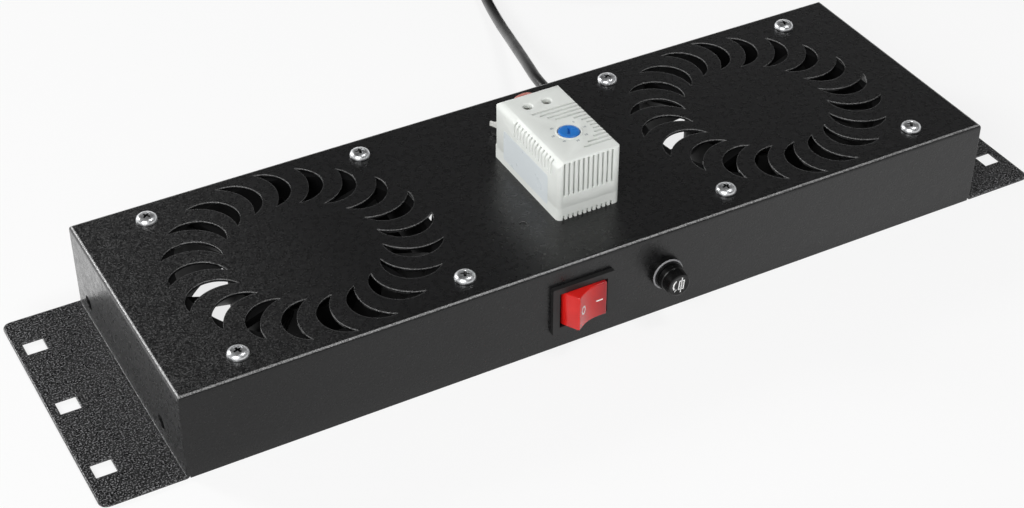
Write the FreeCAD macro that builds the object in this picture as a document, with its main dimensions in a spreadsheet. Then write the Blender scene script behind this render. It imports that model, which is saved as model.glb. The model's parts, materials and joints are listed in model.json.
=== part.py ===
"""Rack fan tray: a 3U bent-steel panel with two axial fans, a thermostat, a rocker switch and a fuse holder.

Millimetres. The panel lies flat: +X runs along it, +Y points to the side where the mains lead leaves, +Z is
up. The origin is the middle of the panel, on the underside of its rack ears.
"""
import FreeCAD, Part
import math
import os
import re

import Sketcher

Vector = FreeCAD.Vector

SIZES = {
    # the bent housing and its rack ears
    "ear_margin": 8.75, "tray_length": 408.0, "tray_depth": 132.0, "tray_height": 44.0,
    "steel": 1.5, "bend": 2.0, "lap": 0.2, "corner_round": 0.7, "ear_round": 4.0,
    "rack_square": 9.5, "rack_span": 465.1, "rack_unit": 44.45,
    "side_bore": 7.0, "side_bore_span": 90.0, "side_bore_y": 6.0, "side_bore_height": 10.0,
    "spare_bore": 3.6, "spare_x": -26.0, "spare_y": -30.0, "plug_flange": 6.4, "plug_sink": 0.4,
    "plug_lip": 1.0,
    # the crescent slots over each fan
    "slot_count": 20, "slot_start": 34.7, "slot_end": 62.0, "slot_start_turn": -3.6, "slot_end_turn": -2.0,
    "slot_belly": 12.2, "slot_hollow": 5.5,
    # the axial fans
    "fan_span": 239.0, "fan_square": 119.0, "fan_depth": 38.0, "fan_corner": 6.0, "fan_flange": 4.0,
    "duct_bore": 113.0, "duct_wall": 2.2, "bolt_span": 105.0, "bolt_bore": 4.5, "bolt_shank": 4.2,
    "bolt_head": 9.5, "bolt_head_rise": 3.2, "bolt_length": 12.0, "nut_width": 7.0, "nut_height": 3.2,
    "strut_count": 4, "strut_width": 7.0, "strut_depth": 4.0, "strut_turn": 20.0,
    "motor_plate": 66.0, "motor_plate_thick": 3.2, "bearing_tube": 15.0, "bearing_bore": 11.0,
    "shaft": 3.0, "running_gap": 0.05, "seat_gap": 0.02,
    "hub": 68.0, "hub_wall": 1.8, "hub_floor": 2.2, "hub_start": 6.6, "hub_top_gap": 1.6, "hub_round": 3.0,
    "blade_count": 7, "blade_tip": 110.0, "blade_root_half": 11.5, "blade_tip_half": 18.0,
    "blade_rise": 22.0, "blade_thick": 2.3, "blade_camber": 3.0, "blade_inset": 1.6, "impeller_turn": 12.0,
    "rotor_wall": 2.2, "stator": 55.0, "stator_core": 12.0, "coil_rise": 4.0, "bearing_width": 4.0,
    # the thermostat
    "thermo_x": 4.1, "thermo_y": -6.5, "thermo_width": 32.0, "thermo_length": 59.6, "thermo_height": 31.0,
    "thermo_base": 6.5, "thermo_wall": 2.2, "thermo_roof": 2.4, "thermo_floor": 2.0, "left_bevel": 3.0,
    "right_bevel": 1.0,
    "front_bevel": 1.0, "rear_bevel": 4.4, "thermo_round": 2.4, "thermo_rear_wall": 3.6,
    "vent_width": 1.1, "vent_pitch": 2.45, "front_vents": 11, "front_vent_shift": -0.6,
    "front_vent_low": 12.8, "front_vent_high": 30.2,
    "side_vents": 13, "side_vent_low": 22.0, "side_vent_top": 0.5, "vent_row_pitch": 2.76,
    "notch_height": 2.3, "notch_depth": 1.4,
    "groove_width": 1.0, "groove_depth": 1.0, "groove_rear": 3.6, "groove_reach": 23.4, "land_gap": 0.5,
    "dial_x": 5.0, "dial_y": -16.0, "dial_turn": -30.0, "dial_clear": 22.6, "dial": 10.0,
    "dial_gap": 0.3, "dial_proud": 0.5, "dial_thick": 3.0, "spindle": 5.0,
    "screw_hole": 4.4, "screw_hole_x": 3.7, "screw_hole_y": 10.6, "screw_hole_span": 9.8,
    "clamp_screw": 3.6, "clamp": 7.6, "clamp_rise": 17.0, "entry_width": 8.6, "entry_height": 5.0,
    "clamp_height": 9.0, "fixing_span": 44.0, "fixing_bore": 3.3, "fixing_shank": 3.0, "fixing_head": 5.6,
    # the rocker switch
    "switch_x": -16.5, "control_z": 22.0, "bezel_width": 31.0, "bezel_height": 25.0, "bezel_thick": 2.2,
    "switch_width": 26.8, "switch_height": 21.8, "switch_depth": 23.0, "cutout_gap": 0.2,
    "mouth_width": 24.2, "mouth_height": 18.7, "mouth_depth": 10.4, "pivot_depth": 4.9,
    "rocker_half": 10.8, "ridge_half": 8.7, "ridge_out": 9.3, "rocker_dish": 1.9, "rocker_gap": 0.3,
    "rocker_tilt": 16.0, "rocker_skirt": 1.2, "pivot_pin": 3.0, "pin_reach": 1.1,
    "blade_terminal": 6.3, "terminal_thick": 0.8, "terminal_reach": 9.0, "terminal_x": 7.0,
    "terminal_z": 4.6,
    # the fuse holder
    "fuse_x": 27.2, "holder_flange": 15.6, "holder_flange_thick": 2.3, "holder_collar": 1.8,
    "collar_width": 13.8, "holder_body": 12.4,
    "holder_depth": 31.0, "holder_bore": 9.2, "holder_end": 3.0, "holder_nut": 16.0,
    "holder_nut_thick": 3.6,
    "cap_base": 13.0, "cap_face": 11.7, "cap_rise": 9.7, "cap_stem": 8.6, "cap_stem_depth": 9.0,
    "cap_gap": 0.2, "fuse_seat": 4.0, "fuse_tube": 4.6, "fuse_ferrule": 5.2, "fuse_length": 20.0,
    "ferrule_length": 5.2,
    # the mains lead
    "lead": 5.8, "lead_x": 54.0, "lead_z": 22.0, "gland_bore": 14.0, "gland_flange": 18.0,
    "gland_flange_thick": 2.0, "gland_tip": 8.4, "gland_reach": 20.0, "sheath_stub": 9.0,
    "coil_x": 134.9, "coil_y": 244.5, "coil_inner": 50.6, "coil_outer": 85.4, "coil_height": 17.4,
    "coil_stub": 24.0, "coil_entry": 164.3, "coil_leave": 40.0,
    "tie_width": 5.0, "tie_thick": 0.9, "tail_length": 18.0,
    "plug_face": 37.0, "plug_face_depth": 20.0, "plug_neck": 21.0, "plug_taper": 16.0, "plug_tip": 9.0,
    "plug_relief": 14.0, "pin_span": 19.0, "pin": 4.8, "pin_length": 19.0,
    # the wiring under the deck
    "core": 2.0, "block_x": 28.0, "block_y": 40.0, "block_width": 14.0, "block_pitch": 8.0,
    "block_height": 12.0, "block_bore": 3.4, "wire_hole": 9.0, "wire_hole_x": 1.0, "wire_hole_y": 38.0,
    "stud_x": 46.0, "stud_y": 6.0, "stud": 4.0, "stud_length": 12.0,
}

os.makedirs("parts", exist_ok=True)
doc = FreeCAD.newDocument("rack_fan_tray")
sheet = doc.addObject("Spreadsheet::Sheet", "Sizes")
for row, (alias, amount) in enumerate(SIZES.items(), 1):
    sheet.set(f"A{row}", alias)
    sheet.set(f"B{row}", str(amount))
    sheet.setAlias(f"B{row}", alias)
doc.recompute()

SUB_PARTS = {}
VOLUMES = {}


# ---------------------------------------------------------------- helpers

def bound(text):
    """The expression text with every size name pointing into the sheet."""
    return re.sub(r"[A-Za-z_]\w*", lambda word: "Sizes." + word[0] if word[0] in SIZES else word[0],
                  str(text))


def size(text):
    """The number that an expression over the sheet comes to."""
    return float(sheet.evalExpression(bound(text)))


def sub_part(thing, name):
    """Makes an object a sub-part of the tray, under the name that its file takes."""
    thing.Label = name
    SUB_PARTS[name] = thing
    return thing


def settle(body, feature, grows):
    """Recomputes a new feature, makes it the body's tip and makes sure that it changed the solid."""
    body.Tip = feature
    doc.recompute()
    if any(word in feature.State for word in ("Invalid", "Error")):
        raise RuntimeError(f"{body.Name}: {feature.Name} failed")
    change = feature.Shape.Volume - VOLUMES.get(body.Name, 0.0)
    VOLUMES[body.Name] = feature.Shape.Volume
    if (change > 0) != grows:
        raise RuntimeError(f"{body.Name}: {feature.Name} changed the volume by {change:.3f}")
    return feature


def new_body(name):
    return sub_part(doc.addObject("PartDesign::Body", name), name)


def new_sketch(body, name, plane, x="0", y="0", z="0", turn="0"):
    """A sketch on one of the body's origin planes, moved along it by x and y, off it by z, and turned."""
    sketch = body.newObject("Sketcher::SketchObject", name)
    planes = {feature.Role: feature for feature in body.Origin.OriginFeatures}
    sketch.AttachmentSupport = [(planes[plane], "")]
    sketch.MapMode = "FlatFace"
    sketch.AttachmentOffset = FreeCAD.Placement(Vector(), FreeCAD.Rotation(Vector(0, 0, 1), 1))
    sketch.setExpression("AttachmentOffset.Rotation.Angle", bound(turn))
    for axis, text in zip("xyz", (x, y, z)):
        sketch.setExpression(f"AttachmentOffset.Base.{axis}", bound(text))
    return sketch


def bind(sketch, constraint, text):
    index = sketch.addConstraint(constraint)
    sketch.renameConstraint(index, f"c{index}")
    sketch.setExpression(f"Constraints.c{index}", bound(text))


def draw(sketch, corners):
    """A closed outline through corners (x, y) or (x, y, bulge). A bulge bows the edge to the next corner out
    by that much, to the right of the way walked, or to the left when it is negative."""
    first = sketch.GeometryCount
    count = len(corners)
    ends = []
    radii = []
    for index, corner in enumerate(corners):
        after = corners[(index + 1) % count]
        start = Vector(size(corner[0]), size(corner[1]), 0)
        end = Vector(size(after[0]), size(after[1]), 0)
        if len(corner) == 2:
            sketch.addGeometry(Part.LineSegment(start, end), False)
            ends.append((1, 2))
            continue
        chord_squared = f"((({after[0]}) - ({corner[0]}))^2 + (({after[1]}) - ({corner[1]}))^2)"
        radius = f"({chord_squared} / 4 + ({corner[2]})^2) / (2 * abs({corner[2]}))"
        rightward = size(corner[2]) > 0
        if not rightward:
            start, end = end, start
        left = Vector(start.y - end.y, end.x - start.x, 0).normalize()
        centre = (start + end) * 0.5 + left * (size(radius) - abs(size(corner[2])))
        angles = [math.atan2(point.y - centre.y, point.x - centre.x) for point in (start, end)]
        sketch.addGeometry(Part.ArcOfCircle(Part.Circle(centre, Vector(0, 0, 1), size(radius)), *angles),
                           False)
        ends.append((1, 2) if rightward else (2, 1))
        radii.append((first + index, radius))
    for index, corner in enumerate(corners):
        here = (first + index, ends[index][0])
        before = (first + (index - 1) % count, ends[index - 1][1])
        sketch.addConstraint(Sketcher.Constraint("Coincident", *before, *here))
        bind(sketch, Sketcher.Constraint("DistanceX", -1, 1, *here, size(corner[0])), corner[0])
        bind(sketch, Sketcher.Constraint("DistanceY", -1, 1, *here, size(corner[1])), corner[1])
    for geometry, radius in radii:
        bind(sketch, Sketcher.Constraint("Radius", geometry, size(radius)), radius)


def rounded(corners):
    """Outline corners (x, y) or (x, y, radius) between square-on edges, as draw takes them."""
    points = [(size(corner[0]), size(corner[1])) for corner in corners]
    result = []
    for index, corner in enumerate(corners):
        if len(corner) == 2:
            result.append(corner)
            continue
        x, y, radius = corner
        here, before, after = points[index], points[index - 1], points[(index + 1) % len(points)]
        came = [math.copysign(1, b - a) if abs(b - a) > 1e-6 else 0 for a, b in zip(before, here)]
        goes = [math.copysign(1, b - a) if abs(b - a) > 1e-6 else 0 for a, b in zip(here, after)]
        side = came[0] * goes[1] - came[1] * goes[0]
        result.append((f"({x}) - ({radius}) * {came[0]}", f"({y}) - ({radius}) * {came[1]}",
                       f"({radius}) * (1 - sqrt(0.5)) * {side}"))
        result.append((f"({x}) + ({radius}) * {goes[0]}", f"({y}) + ({radius}) * {goes[1]}"))
    return result


def oblong(sketch, width, height, x="0", y="0", radius=None):
    """A rectangle around (x, y), with rounded corners where a radius is given."""
    low_x, high_x = f"({x}) - ({width}) / 2", f"({x}) + ({width}) / 2"
    low_y, high_y = f"({y}) - ({height}) / 2", f"({y}) + ({height}) / 2"
    corners = [(low_x, low_y), (high_x, low_y), (high_x, high_y), (low_x, high_y)]
    if radius:
        corners = rounded([corner + (radius,) for corner in corners])
    draw(sketch, corners)


def circle(sketch, diameter, x="0", y="0"):
    centre = Vector(size(x), size(y), 0)
    index = sketch.addGeometry(Part.Circle(centre, Vector(0, 0, 1), size(diameter) / 2), False)
    bind(sketch, Sketcher.Constraint("DistanceX", -1, 1, index, 3, centre.x), x)
    bind(sketch, Sketcher.Constraint("DistanceY", -1, 1, index, 3, centre.y), y)
    bind(sketch, Sketcher.Constraint("Radius", index, size(diameter) / 2), f"({diameter}) / 2")


def pad(body, sketch, length, symmetric=False, down=False):
    feature = body.newObject("PartDesign::Pad", sketch.Name + "_pad")
    feature.Profile = sketch
    feature.SideType = "Symmetric" if symmetric else "One side"
    feature.Reversed = down
    feature.setExpression("Length", bound(length))
    return settle(body, feature, True)


def pocket(body, sketch, depth=None, along=False):
    """A pocket right through both ways, or of a depth against the sketch's normal, or along it."""
    feature = body.newObject("PartDesign::Pocket", sketch.Name + "_pocket")
    feature.Profile = sketch
    feature.Reversed = along
    if depth is None:
        feature.Type = "ThroughAll"
        feature.SideType = "Symmetric"
    else:
        feature.setExpression("Length", bound(depth))
    return settle(body, feature, False)


def turned_copies(body, feature, count):
    """Copies of a feature around the normal through its sketch's own zero point."""
    pattern = body.newObject("PartDesign::PolarPattern", feature.Name + "_ring")
    pattern.Originals = [feature]
    pattern.Axis = (feature.Profile[0], ["N_Axis"])
    pattern.Angle = 360
    pattern.setExpression("Occurrences", bound(count))
    return settle(body, pattern, feature.TypeId != "PartDesign::Pocket")


def row_of_copies(body, feature, axis, count, pitch, backwards=False):
    pattern = body.newObject("PartDesign::LinearPattern", feature.Name + "_row")
    pattern.Originals = [feature]
    pattern.Direction = (feature.Profile[0], [axis])
    pattern.Reversed = backwards
    pattern.setExpression("Length", bound(f"({pitch}) * ({count} - 1)"))
    pattern.setExpression("Occurrences", bound(count))
    return settle(body, pattern, feature.TypeId != "PartDesign::Pocket")


def mirrored(body, feature, plane):
    planes = {item.Role: item for item in body.Origin.OriginFeatures}
    mirror = body.newObject("PartDesign::Mirrored", feature.Name + "_mirror")
    mirror.Originals = [feature]
    mirror.MirrorPlane = (planes[plane], [""])
    return settle(body, mirror, feature.TypeId != "PartDesign::Pocket")


def round_edges(body, radius, wanted, name):
    """Fillets the edges of the body's tip for which wanted(edge) holds."""
    base = body.Tip
    names = [f"Edge{number}" for number, edge in enumerate(base.Shape.Edges, 1) if wanted(edge)]
    fillet = body.newObject("PartDesign::Fillet", name)
    fillet.Base = (base, names)
    fillet.setExpression("Radius", bound(radius))
    doc.recompute()
    if "Invalid" in fillet.State or not names:
        raise RuntimeError(f"{name} failed on {names}")
    body.Tip = fillet
    VOLUMES[body.Name] = fillet.Shape.Volume
    return fillet


def move_body(body, x, turn="0"):
    """Puts a body that is modelled around the Z axis at x, turned about its own axis."""
    body.Placement = FreeCAD.Placement(Vector(), FreeCAD.Rotation(Vector(0, 0, 1), 1))
    body.setExpression("Placement.Rotation.Angle", bound(turn))
    body.setExpression("Placement.Base.x", bound(x))


def place(thing, x, y, z, direction=(0, 0, 1)):
    thing.Placement = FreeCAD.Placement(Vector(), FreeCAD.Rotation(Vector(0, 0, 1), Vector(*direction)))
    for axis, text in zip("xyz", (x, y, z)):
        thing.setExpression(f"Placement.Base.{axis}", bound(text))
    return thing


def box(name, width, depth, height, x, y, low_z, turn="0"):
    """A block centred on x and y, standing on low_z, turned about its own upright middle line."""
    thing = doc.addObject("Part::Box", name)
    for field, text in (("Length", width), ("Width", depth), ("Height", height)):
        thing.setExpression(field, bound(text))
    across, deep = f"({width}) / 2", f"({depth}) / 2"
    place(thing, f"{x} - {across} * cos({turn}) + {deep} * sin({turn})",
          f"{y} - {across} * sin({turn}) - {deep} * cos({turn})", low_z)
    thing.Placement = FreeCAD.Placement(thing.Placement.Base, FreeCAD.Rotation(Vector(0, 0, 1), 1))
    thing.setExpression("Placement.Rotation.Angle", bound(turn))
    return thing


def rod(name, diameter, length, x, y, z, direction=(0, 0, 1)):
    """A round rod from (x, y, z) along the direction."""
    thing = doc.addObject("Part::Cylinder", name)
    thing.setExpression("Radius", bound(f"({diameter}) / 2"))
    thing.setExpression("Height", bound(length))
    return place(thing, x, y, z, direction)


def taper(name, near, far, length, x, y, z, direction=(0, 0, 1)):
    """A round taper from diameter near at (x, y, z) to diameter far along the direction."""
    thing = doc.addObject("Part::Cone", name)
    thing.setExpression("Radius1", bound(f"({near}) / 2"))
    thing.setExpression("Radius2", bound(f"({far}) / 2"))
    thing.setExpression("Height", bound(length))
    return place(thing, x, y, z, direction)


def hexagon(name, width, height, x, y, z, direction=(0, 0, 1)):
    thing = doc.addObject("Part::Prism", name)
    thing.Polygon = 6
    thing.setExpression("Circumradius", bound(f"({width}) / sqrt(3)"))
    thing.setExpression("Height", bound(height))
    return place(thing, x, y, z, direction)


def joined(name, things):
    result = doc.addObject("Part::MultiFuse", name)
    result.Shapes = things
    return result


def less(name, base, things):
    result = doc.addObject("Part::Cut", name)
    result.Base = base
    result.Tool = things[0] if len(things) == 1 else joined(name + "_tools", things)
    return result


def group(name, things):
    """Several alike solids that share one node."""
    result = doc.addObject("Part::Compound", name)
    result.Links = things
    return sub_part(result, name)


def route_radii(points):
    """The arc radius at each inner corner of a route: 0.45 of the shorter run over tan(half the turn)."""
    radii = []
    for before, here, after in zip(points, points[1:], points[2:]):
        turn = (here - before).getAngle(after - here)
        radii.append(0.45 * min((here - before).Length, (after - here).Length) / math.tan(turn / 2))
    return radii


def tube(name, points, diameter):
    """A round tube along straight runs that tangent arcs join, made of the same route points."""
    points = [Vector(*point) for point in points]
    radii = route_radii(points)
    edges = []
    start = points[0]
    for before, here, after, radius in zip(points, points[1:], points[2:], radii):
        into, out = (here - before).normalize(), (after - here).normalize()
        reach = radius * math.tan(into.getAngle(out) / 2)
        first, last = here - into * reach, here + out * reach
        inward = (out - into).normalize()
        middle = here + inward * (math.hypot(radius, reach) - radius)
        edges.append(Part.LineSegment(start, first).toShape())
        edges.append(Part.Arc(first, middle, last).toShape())
        start = last
    edges.append(Part.LineSegment(start, points[-1]).toShape())
    path = Part.Wire(edges)
    ring = Part.Circle(points[0], points[1] - points[0], diameter / 2)
    shape = path.makePipeShell([Part.Wire([ring.toShape()])], True, True)
    expected = math.pi * diameter ** 2 / 4 * path.Length
    if abs(shape.Volume / expected - 1) > 0.005:
        raise RuntimeError(f"{name}: tube volume {shape.Volume:.1f}, expected {expected:.1f}")
    thing = doc.addObject("Part::Feature", name)
    thing.Shape = shape
    thing.Placement = FreeCAD.Placement()
    print(f"{name}: length {path.Length:.1f}, radii {[round(radius, 1) for radius in radii]}")
    return thing


# ---------------------------------------------------------------- housing

FRONT, REAR = "-tray_depth / 2", "tray_depth / 2"
SIDES = {"left": "-fan_span / 2", "right": "fan_span / 2"}
DECK_UNDER = "tray_height - steel"
PANEL_EDGE = "(rack_span / 2 + ear_margin)"
BEND_BULGE = "bend * (1 - cos(45))"


def outside_bends(sketch, half):
    """What lies past the rounded top edges at both ends of the deck's section."""
    for sign in (-1, 1):
        end, start = f"{sign} * {half}", f"{sign} * ({half} - bend)"
        past, bulge = f"{sign} * ({half} + bend)", f"{sign} * {BEND_BULGE}"
        draw(sketch, [(end, "tray_height - bend", bulge), (start, "tray_height"), (start,
                                                                                   "tray_height + bend"),
                      (past, "tray_height + bend"), (past, "tray_height - bend")])


def make_housing():
    body = new_body("housing")
    inner_bend = "bend - steel"
    deck = new_sketch(body, "deck_section", "YZ_Plane")
    draw(deck, rounded([
        ("-tray_depth / 2", "0"), ("-tray_depth / 2", "tray_height", "bend"),
        ("tray_depth / 2", "tray_height", "bend"), ("tray_depth / 2", "0"),
        ("tray_depth / 2 - steel", "0"), ("tray_depth / 2 - steel", "tray_height - steel", inner_bend),
        ("steel - tray_depth / 2", "tray_height - steel", inner_bend), ("steel - tray_depth / 2", "0")]))
    pad(body, deck, "tray_length - 2 * steel", symmetric=True)
    side = new_sketch(body, "side_section", "XZ_Plane")
    draw(side, rounded([
        ("tray_length / 2 - bend - lap", "tray_height"), ("tray_length / 2 - bend - lap",
                                                          "tray_height - steel"),
        ("tray_length / 2 - steel", "tray_height - steel", inner_bend), ("tray_length / 2 - steel", "0",
                                                                         "bend"),
        (PANEL_EDGE, "0"), (PANEL_EDGE, "steel"), ("tray_length / 2", "steel", inner_bend),
        ("tray_length / 2", "tray_height", "bend")]))
    mirrored(body, pad(body, side, "tray_depth", symmetric=True), "YZ_Plane")

    front_trim = new_sketch(body, "front_bend_trim", "YZ_Plane")
    outside_bends(front_trim, "tray_depth / 2")
    pocket(body, front_trim)
    side_trim = new_sketch(body, "side_bend_trim", "XZ_Plane")
    outside_bends(side_trim, "tray_length / 2")
    pocket(body, side_trim)

    rack = new_sketch(body, "rack_holes", "XY_Plane")
    for sign_x in (-1, 1):
        for step in (-1, 0, 1):
            oblong(rack, "rack_square", "rack_square", f"{sign_x} * rack_span / 2", f"{step} * rack_unit")
    pocket(body, rack)

    for side_name, fan_x in SIDES.items():
        slot = new_sketch(body, f"slot_{side_name}", "XY_Plane", x=fan_x)
        draw(slot, [("slot_start * cos(slot_start_turn)", "slot_start * sin(slot_start_turn)",
                     "slot_belly"),
                    ("slot_end * cos(slot_end_turn)", "slot_end * sin(slot_end_turn)", "-slot_hollow")])
        turned_copies(body, pocket(body, slot), "slot_count")

    deck_holes = new_sketch(body, "deck_holes", "XY_Plane")
    for fan_x in SIDES.values():
        for sign_x in (-1, 1):
            for sign_y in (-1, 1):
                circle(deck_holes, "bolt_bore", f"{fan_x} + {sign_x} * bolt_span / 2",
                       f"{sign_y} * bolt_span / 2")
    circle(deck_holes, "wire_hole", "wire_hole_x", "wire_hole_y")
    circle(deck_holes, "spare_bore", "spare_x", "spare_y")
    for sign in (-1, 1):
        circle(deck_holes, "fixing_bore", "thermo_x", f"thermo_y + {sign} * fixing_span / 2")
    pocket(body, deck_holes)

    side_holes = new_sketch(body, "side_holes", "YZ_Plane")
    for sign in (-1, 1):
        circle(side_holes, "side_bore", f"side_bore_y + {sign} * side_bore_span / 2", "side_bore_height")
    pocket(body, side_holes)

    front_holes = new_sketch(body, "front_holes", "XZ_Plane", z="tray_depth / 2 + steel")
    oblong(front_holes, "switch_width + 2 * cutout_gap", "switch_height + 2 * cutout_gap", "switch_x",
           "control_z")
    circle(front_holes, "holder_body + 2 * cutout_gap", "fuse_x", "control_z")
    pocket(body, front_holes, "3 * steel")
    rear_hole = new_sketch(body, "rear_hole", "XZ_Plane", z="-tray_depth / 2 - steel")
    circle(rear_hole, "gland_bore", "lead_x", "lead_z")
    pocket(body, rear_hole, "3 * steel", along=True)

    def ear_corner(edge):
        box_ = edge.BoundBox
        return (box_.ZLength > 0.9 * size("steel") and box_.XLength + box_.YLength < 0.01
                and abs(box_.XMax) > size(PANEL_EDGE) - 0.01)
    round_edges(body, "ear_round", ear_corner, "ear_rounds")

    def wall_corner(edge):
        box_ = edge.BoundBox
        return (box_.ZLength > 0.8 * size("tray_height") and box_.XLength + box_.YLength < 0.01
                and abs(box_.XMax) > size("tray_length / 2") - 0.01
                and abs(box_.YMax) > size("tray_depth / 2") - 0.01)
    round_edges(body, "corner_round", wall_corner, "corner_rounds")


# ---------------------------------------------------------------- fans

def make_fan_frame(side, fan_x):
    top = DECK_UNDER
    body = new_body(f"fan_frame_{side}")
    square = new_sketch(body, f"frame_square_{side}", "XY_Plane", z=top)
    oblong(square, "fan_square", "fan_square", radius="fan_corner")
    circle(square, "duct_bore")
    pad(body, square, "fan_depth", down=True)
    waist = new_sketch(body, f"frame_waist_{side}", "XY_Plane", z=f"{top} - fan_flange")
    oblong(waist, "fan_square + 10", "fan_square + 10")
    circle(waist, "duct_bore + 2 * duct_wall")
    pocket(body, waist, "fan_depth - 2 * fan_flange")
    strut = new_sketch(body, f"frame_strut_{side}", "XY_Plane", z=top, turn="strut_turn")
    oblong(strut, "duct_bore / 2 - motor_plate / 2 + 10", "strut_width", "(duct_bore + motor_plate) / 4",
           "motor_plate / 5")
    turned_copies(body, pad(body, strut, "strut_depth", down=True), "strut_count")
    plate = new_sketch(body, f"motor_plate_{side}", "XY_Plane", z=top)
    circle(plate, "motor_plate")
    pad(body, plate, "motor_plate_thick", down=True)
    tube_sketch = new_sketch(body, f"bearing_tube_{side}", "XY_Plane", z=f"{top} - motor_plate_thick")
    circle(tube_sketch, "bearing_tube")
    circle(tube_sketch, "bearing_bore")
    pad(body, tube_sketch, "fan_depth - motor_plate_thick - hub_start - hub_floor - 4", down=True)
    holes = new_sketch(body, f"frame_holes_{side}", "XY_Plane")
    for sign_x in (-1, 1):
        for sign_y in (-1, 1):
            circle(holes, "bolt_bore", f"{sign_x} * bolt_span / 2", f"{sign_y} * bolt_span / 2")
    pocket(body, holes)
    move_body(body, fan_x)


def blade_section(sketch, half):
    """One blade's cut at a fixed distance from the axis: a cambered strip that climbs along +Y."""
    low, high = f"{HUB_BASE} + blade_inset", f"{HUB_BASE} + blade_inset + blade_rise"
    draw(sketch, [(f"-{half}", low, "blade_camber"), (half, high), (half, f"{high} + blade_thick",
                                                                    "-blade_camber"),
                  (f"-{half}", f"{low} + blade_thick")])


FAN_BASE = f"({DECK_UNDER} - fan_depth)"
HUB_BASE = f"({FAN_BASE} + hub_start)"
HUB_HEIGHT = "(fan_depth - hub_start - motor_plate_thick - hub_top_gap)"


def make_impeller(side, fan_x):
    body = new_body(f"impeller_{side}")
    hub = new_sketch(body, f"hub_{side}", "XY_Plane", z=HUB_BASE)
    circle(hub, "hub")
    pad(body, hub, HUB_HEIGHT)
    hub_radius = size("hub / 2")

    def hub_rim(edge):
        return (abs(edge.BoundBox.ZMax - size(HUB_BASE)) < 0.01 and edge.BoundBox.ZLength < 0.01
                and edge.BoundBox.XLength > 1.9 * hub_radius)
    round_edges(body, "hub_round", hub_rim, f"hub_rim_{side}")

    sections = []
    for spot, half in (("hub / 2 - 4", "blade_root_half"), ("blade_tip / 2 + 3", "blade_tip_half")):
        section = new_sketch(body, f"blade_{len(sections)}_{side}", "YZ_Plane", z=spot)
        blade_section(section, half)
        sections.append(section)
    blade = body.newObject("PartDesign::AdditiveLoft", f"blade_{side}")
    blade.Profile = sections[0]
    blade.Sections = [sections[1]]
    blade.Ruled = True
    settle(body, blade, True)
    axis = new_sketch(body, f"blade_axis_{side}", "XY_Plane")
    ring = body.newObject("PartDesign::PolarPattern", f"blades_{side}")
    ring.Originals = [blade]
    ring.Axis = (axis, ["N_Axis"])
    ring.Angle = 360
    ring.setExpression("Occurrences", bound("blade_count"))
    settle(body, ring, True)
    trim = new_sketch(body, f"tip_trim_{side}", "XY_Plane")
    circle(trim, "blade_tip")
    circle(trim, "blade_tip * 2")
    pocket(body, trim)
    cup = new_sketch(body, f"cup_{side}", "XY_Plane", z=f"{HUB_BASE} + {HUB_HEIGHT}")
    circle(cup, "hub - 2 * hub_wall")
    pocket(body, cup, f"{HUB_HEIGHT} - hub_floor")
    boss = new_sketch(body, f"boss_{side}", "XY_Plane", z=f"{HUB_BASE} + hub_floor")
    circle(boss, "shaft * 3")
    pad(body, boss, "3")
    bore = new_sketch(body, f"shaft_bore_{side}", "XY_Plane", z=f"{HUB_BASE} + hub_floor + 3")
    circle(bore, "shaft + 2 * seat_gap")
    pocket(body, bore, "hub_floor + 2")
    move_body(body, fan_x, "impeller_turn")


def make_motor(side, fan_x):
    base = f"{HUB_BASE} + hub_floor"
    cup_bore = "hub - 2 * hub_wall - 2 * seat_gap"
    rotor = rod(f"rotor_blank_{side}", cup_bore, f"{HUB_HEIGHT} - hub_floor - 1", fan_x, "0",
                f"{base} + 0.1")
    hole = rod(f"rotor_hole_{side}", f"{cup_bore} - 2 * rotor_wall", "fan_depth", fan_x, "0", base)
    sub_part(less(f"rotor_ring_{side}", rotor, [hole]), f"rotor_ring_{side}")

    middle = f"({base} + ({HUB_HEIGHT} - hub_floor) / 2)"
    core = rod(f"core_{side}", "stator", "stator_core", fan_x, "0", f"{middle} - stator_core / 2")
    coils = rod(f"coils_{side}", "stator * 0.82", "stator_core + 2 * coil_rise", fan_x, "0",
                f"{middle} - stator_core / 2 - coil_rise")
    bore = rod(f"stator_bore_{side}", "bearing_tube + 2 * seat_gap", "fan_depth", fan_x, "0", base)
    sub_part(less(f"stator_{side}", joined(f"stator_blank_{side}", [core, coils]), [bore]),
             f"stator_{side}")

    tube_low = f"({base} + 4)"
    rings = []
    for index, low in enumerate((f"{tube_low} + 1",
                                 f"{DECK_UNDER} - motor_plate_thick - 5 - bearing_width")):
        ring = rod(f"bearing_{index}_{side}", "bearing_bore - 2 * seat_gap", "bearing_width", fan_x, "0",
                   low)
        hole = rod(f"bearing_hole_{index}_{side}", "shaft + 2 * running_gap", "fan_depth", fan_x, "0",
                   FAN_BASE)
        rings.append(less(f"bearing_ring_{index}_{side}", ring, [hole]))
    group(f"bearings_{side}", rings)
    shaft_low = f"{base} + 1 - hub_floor / 2"
    sub_part(rod(f"shaft_{side}", "shaft", f"{DECK_UNDER} - motor_plate_thick - 1.5 - ({shaft_low})", fan_x,
                 "0",
                 shaft_low), f"shaft_{side}")


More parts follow.
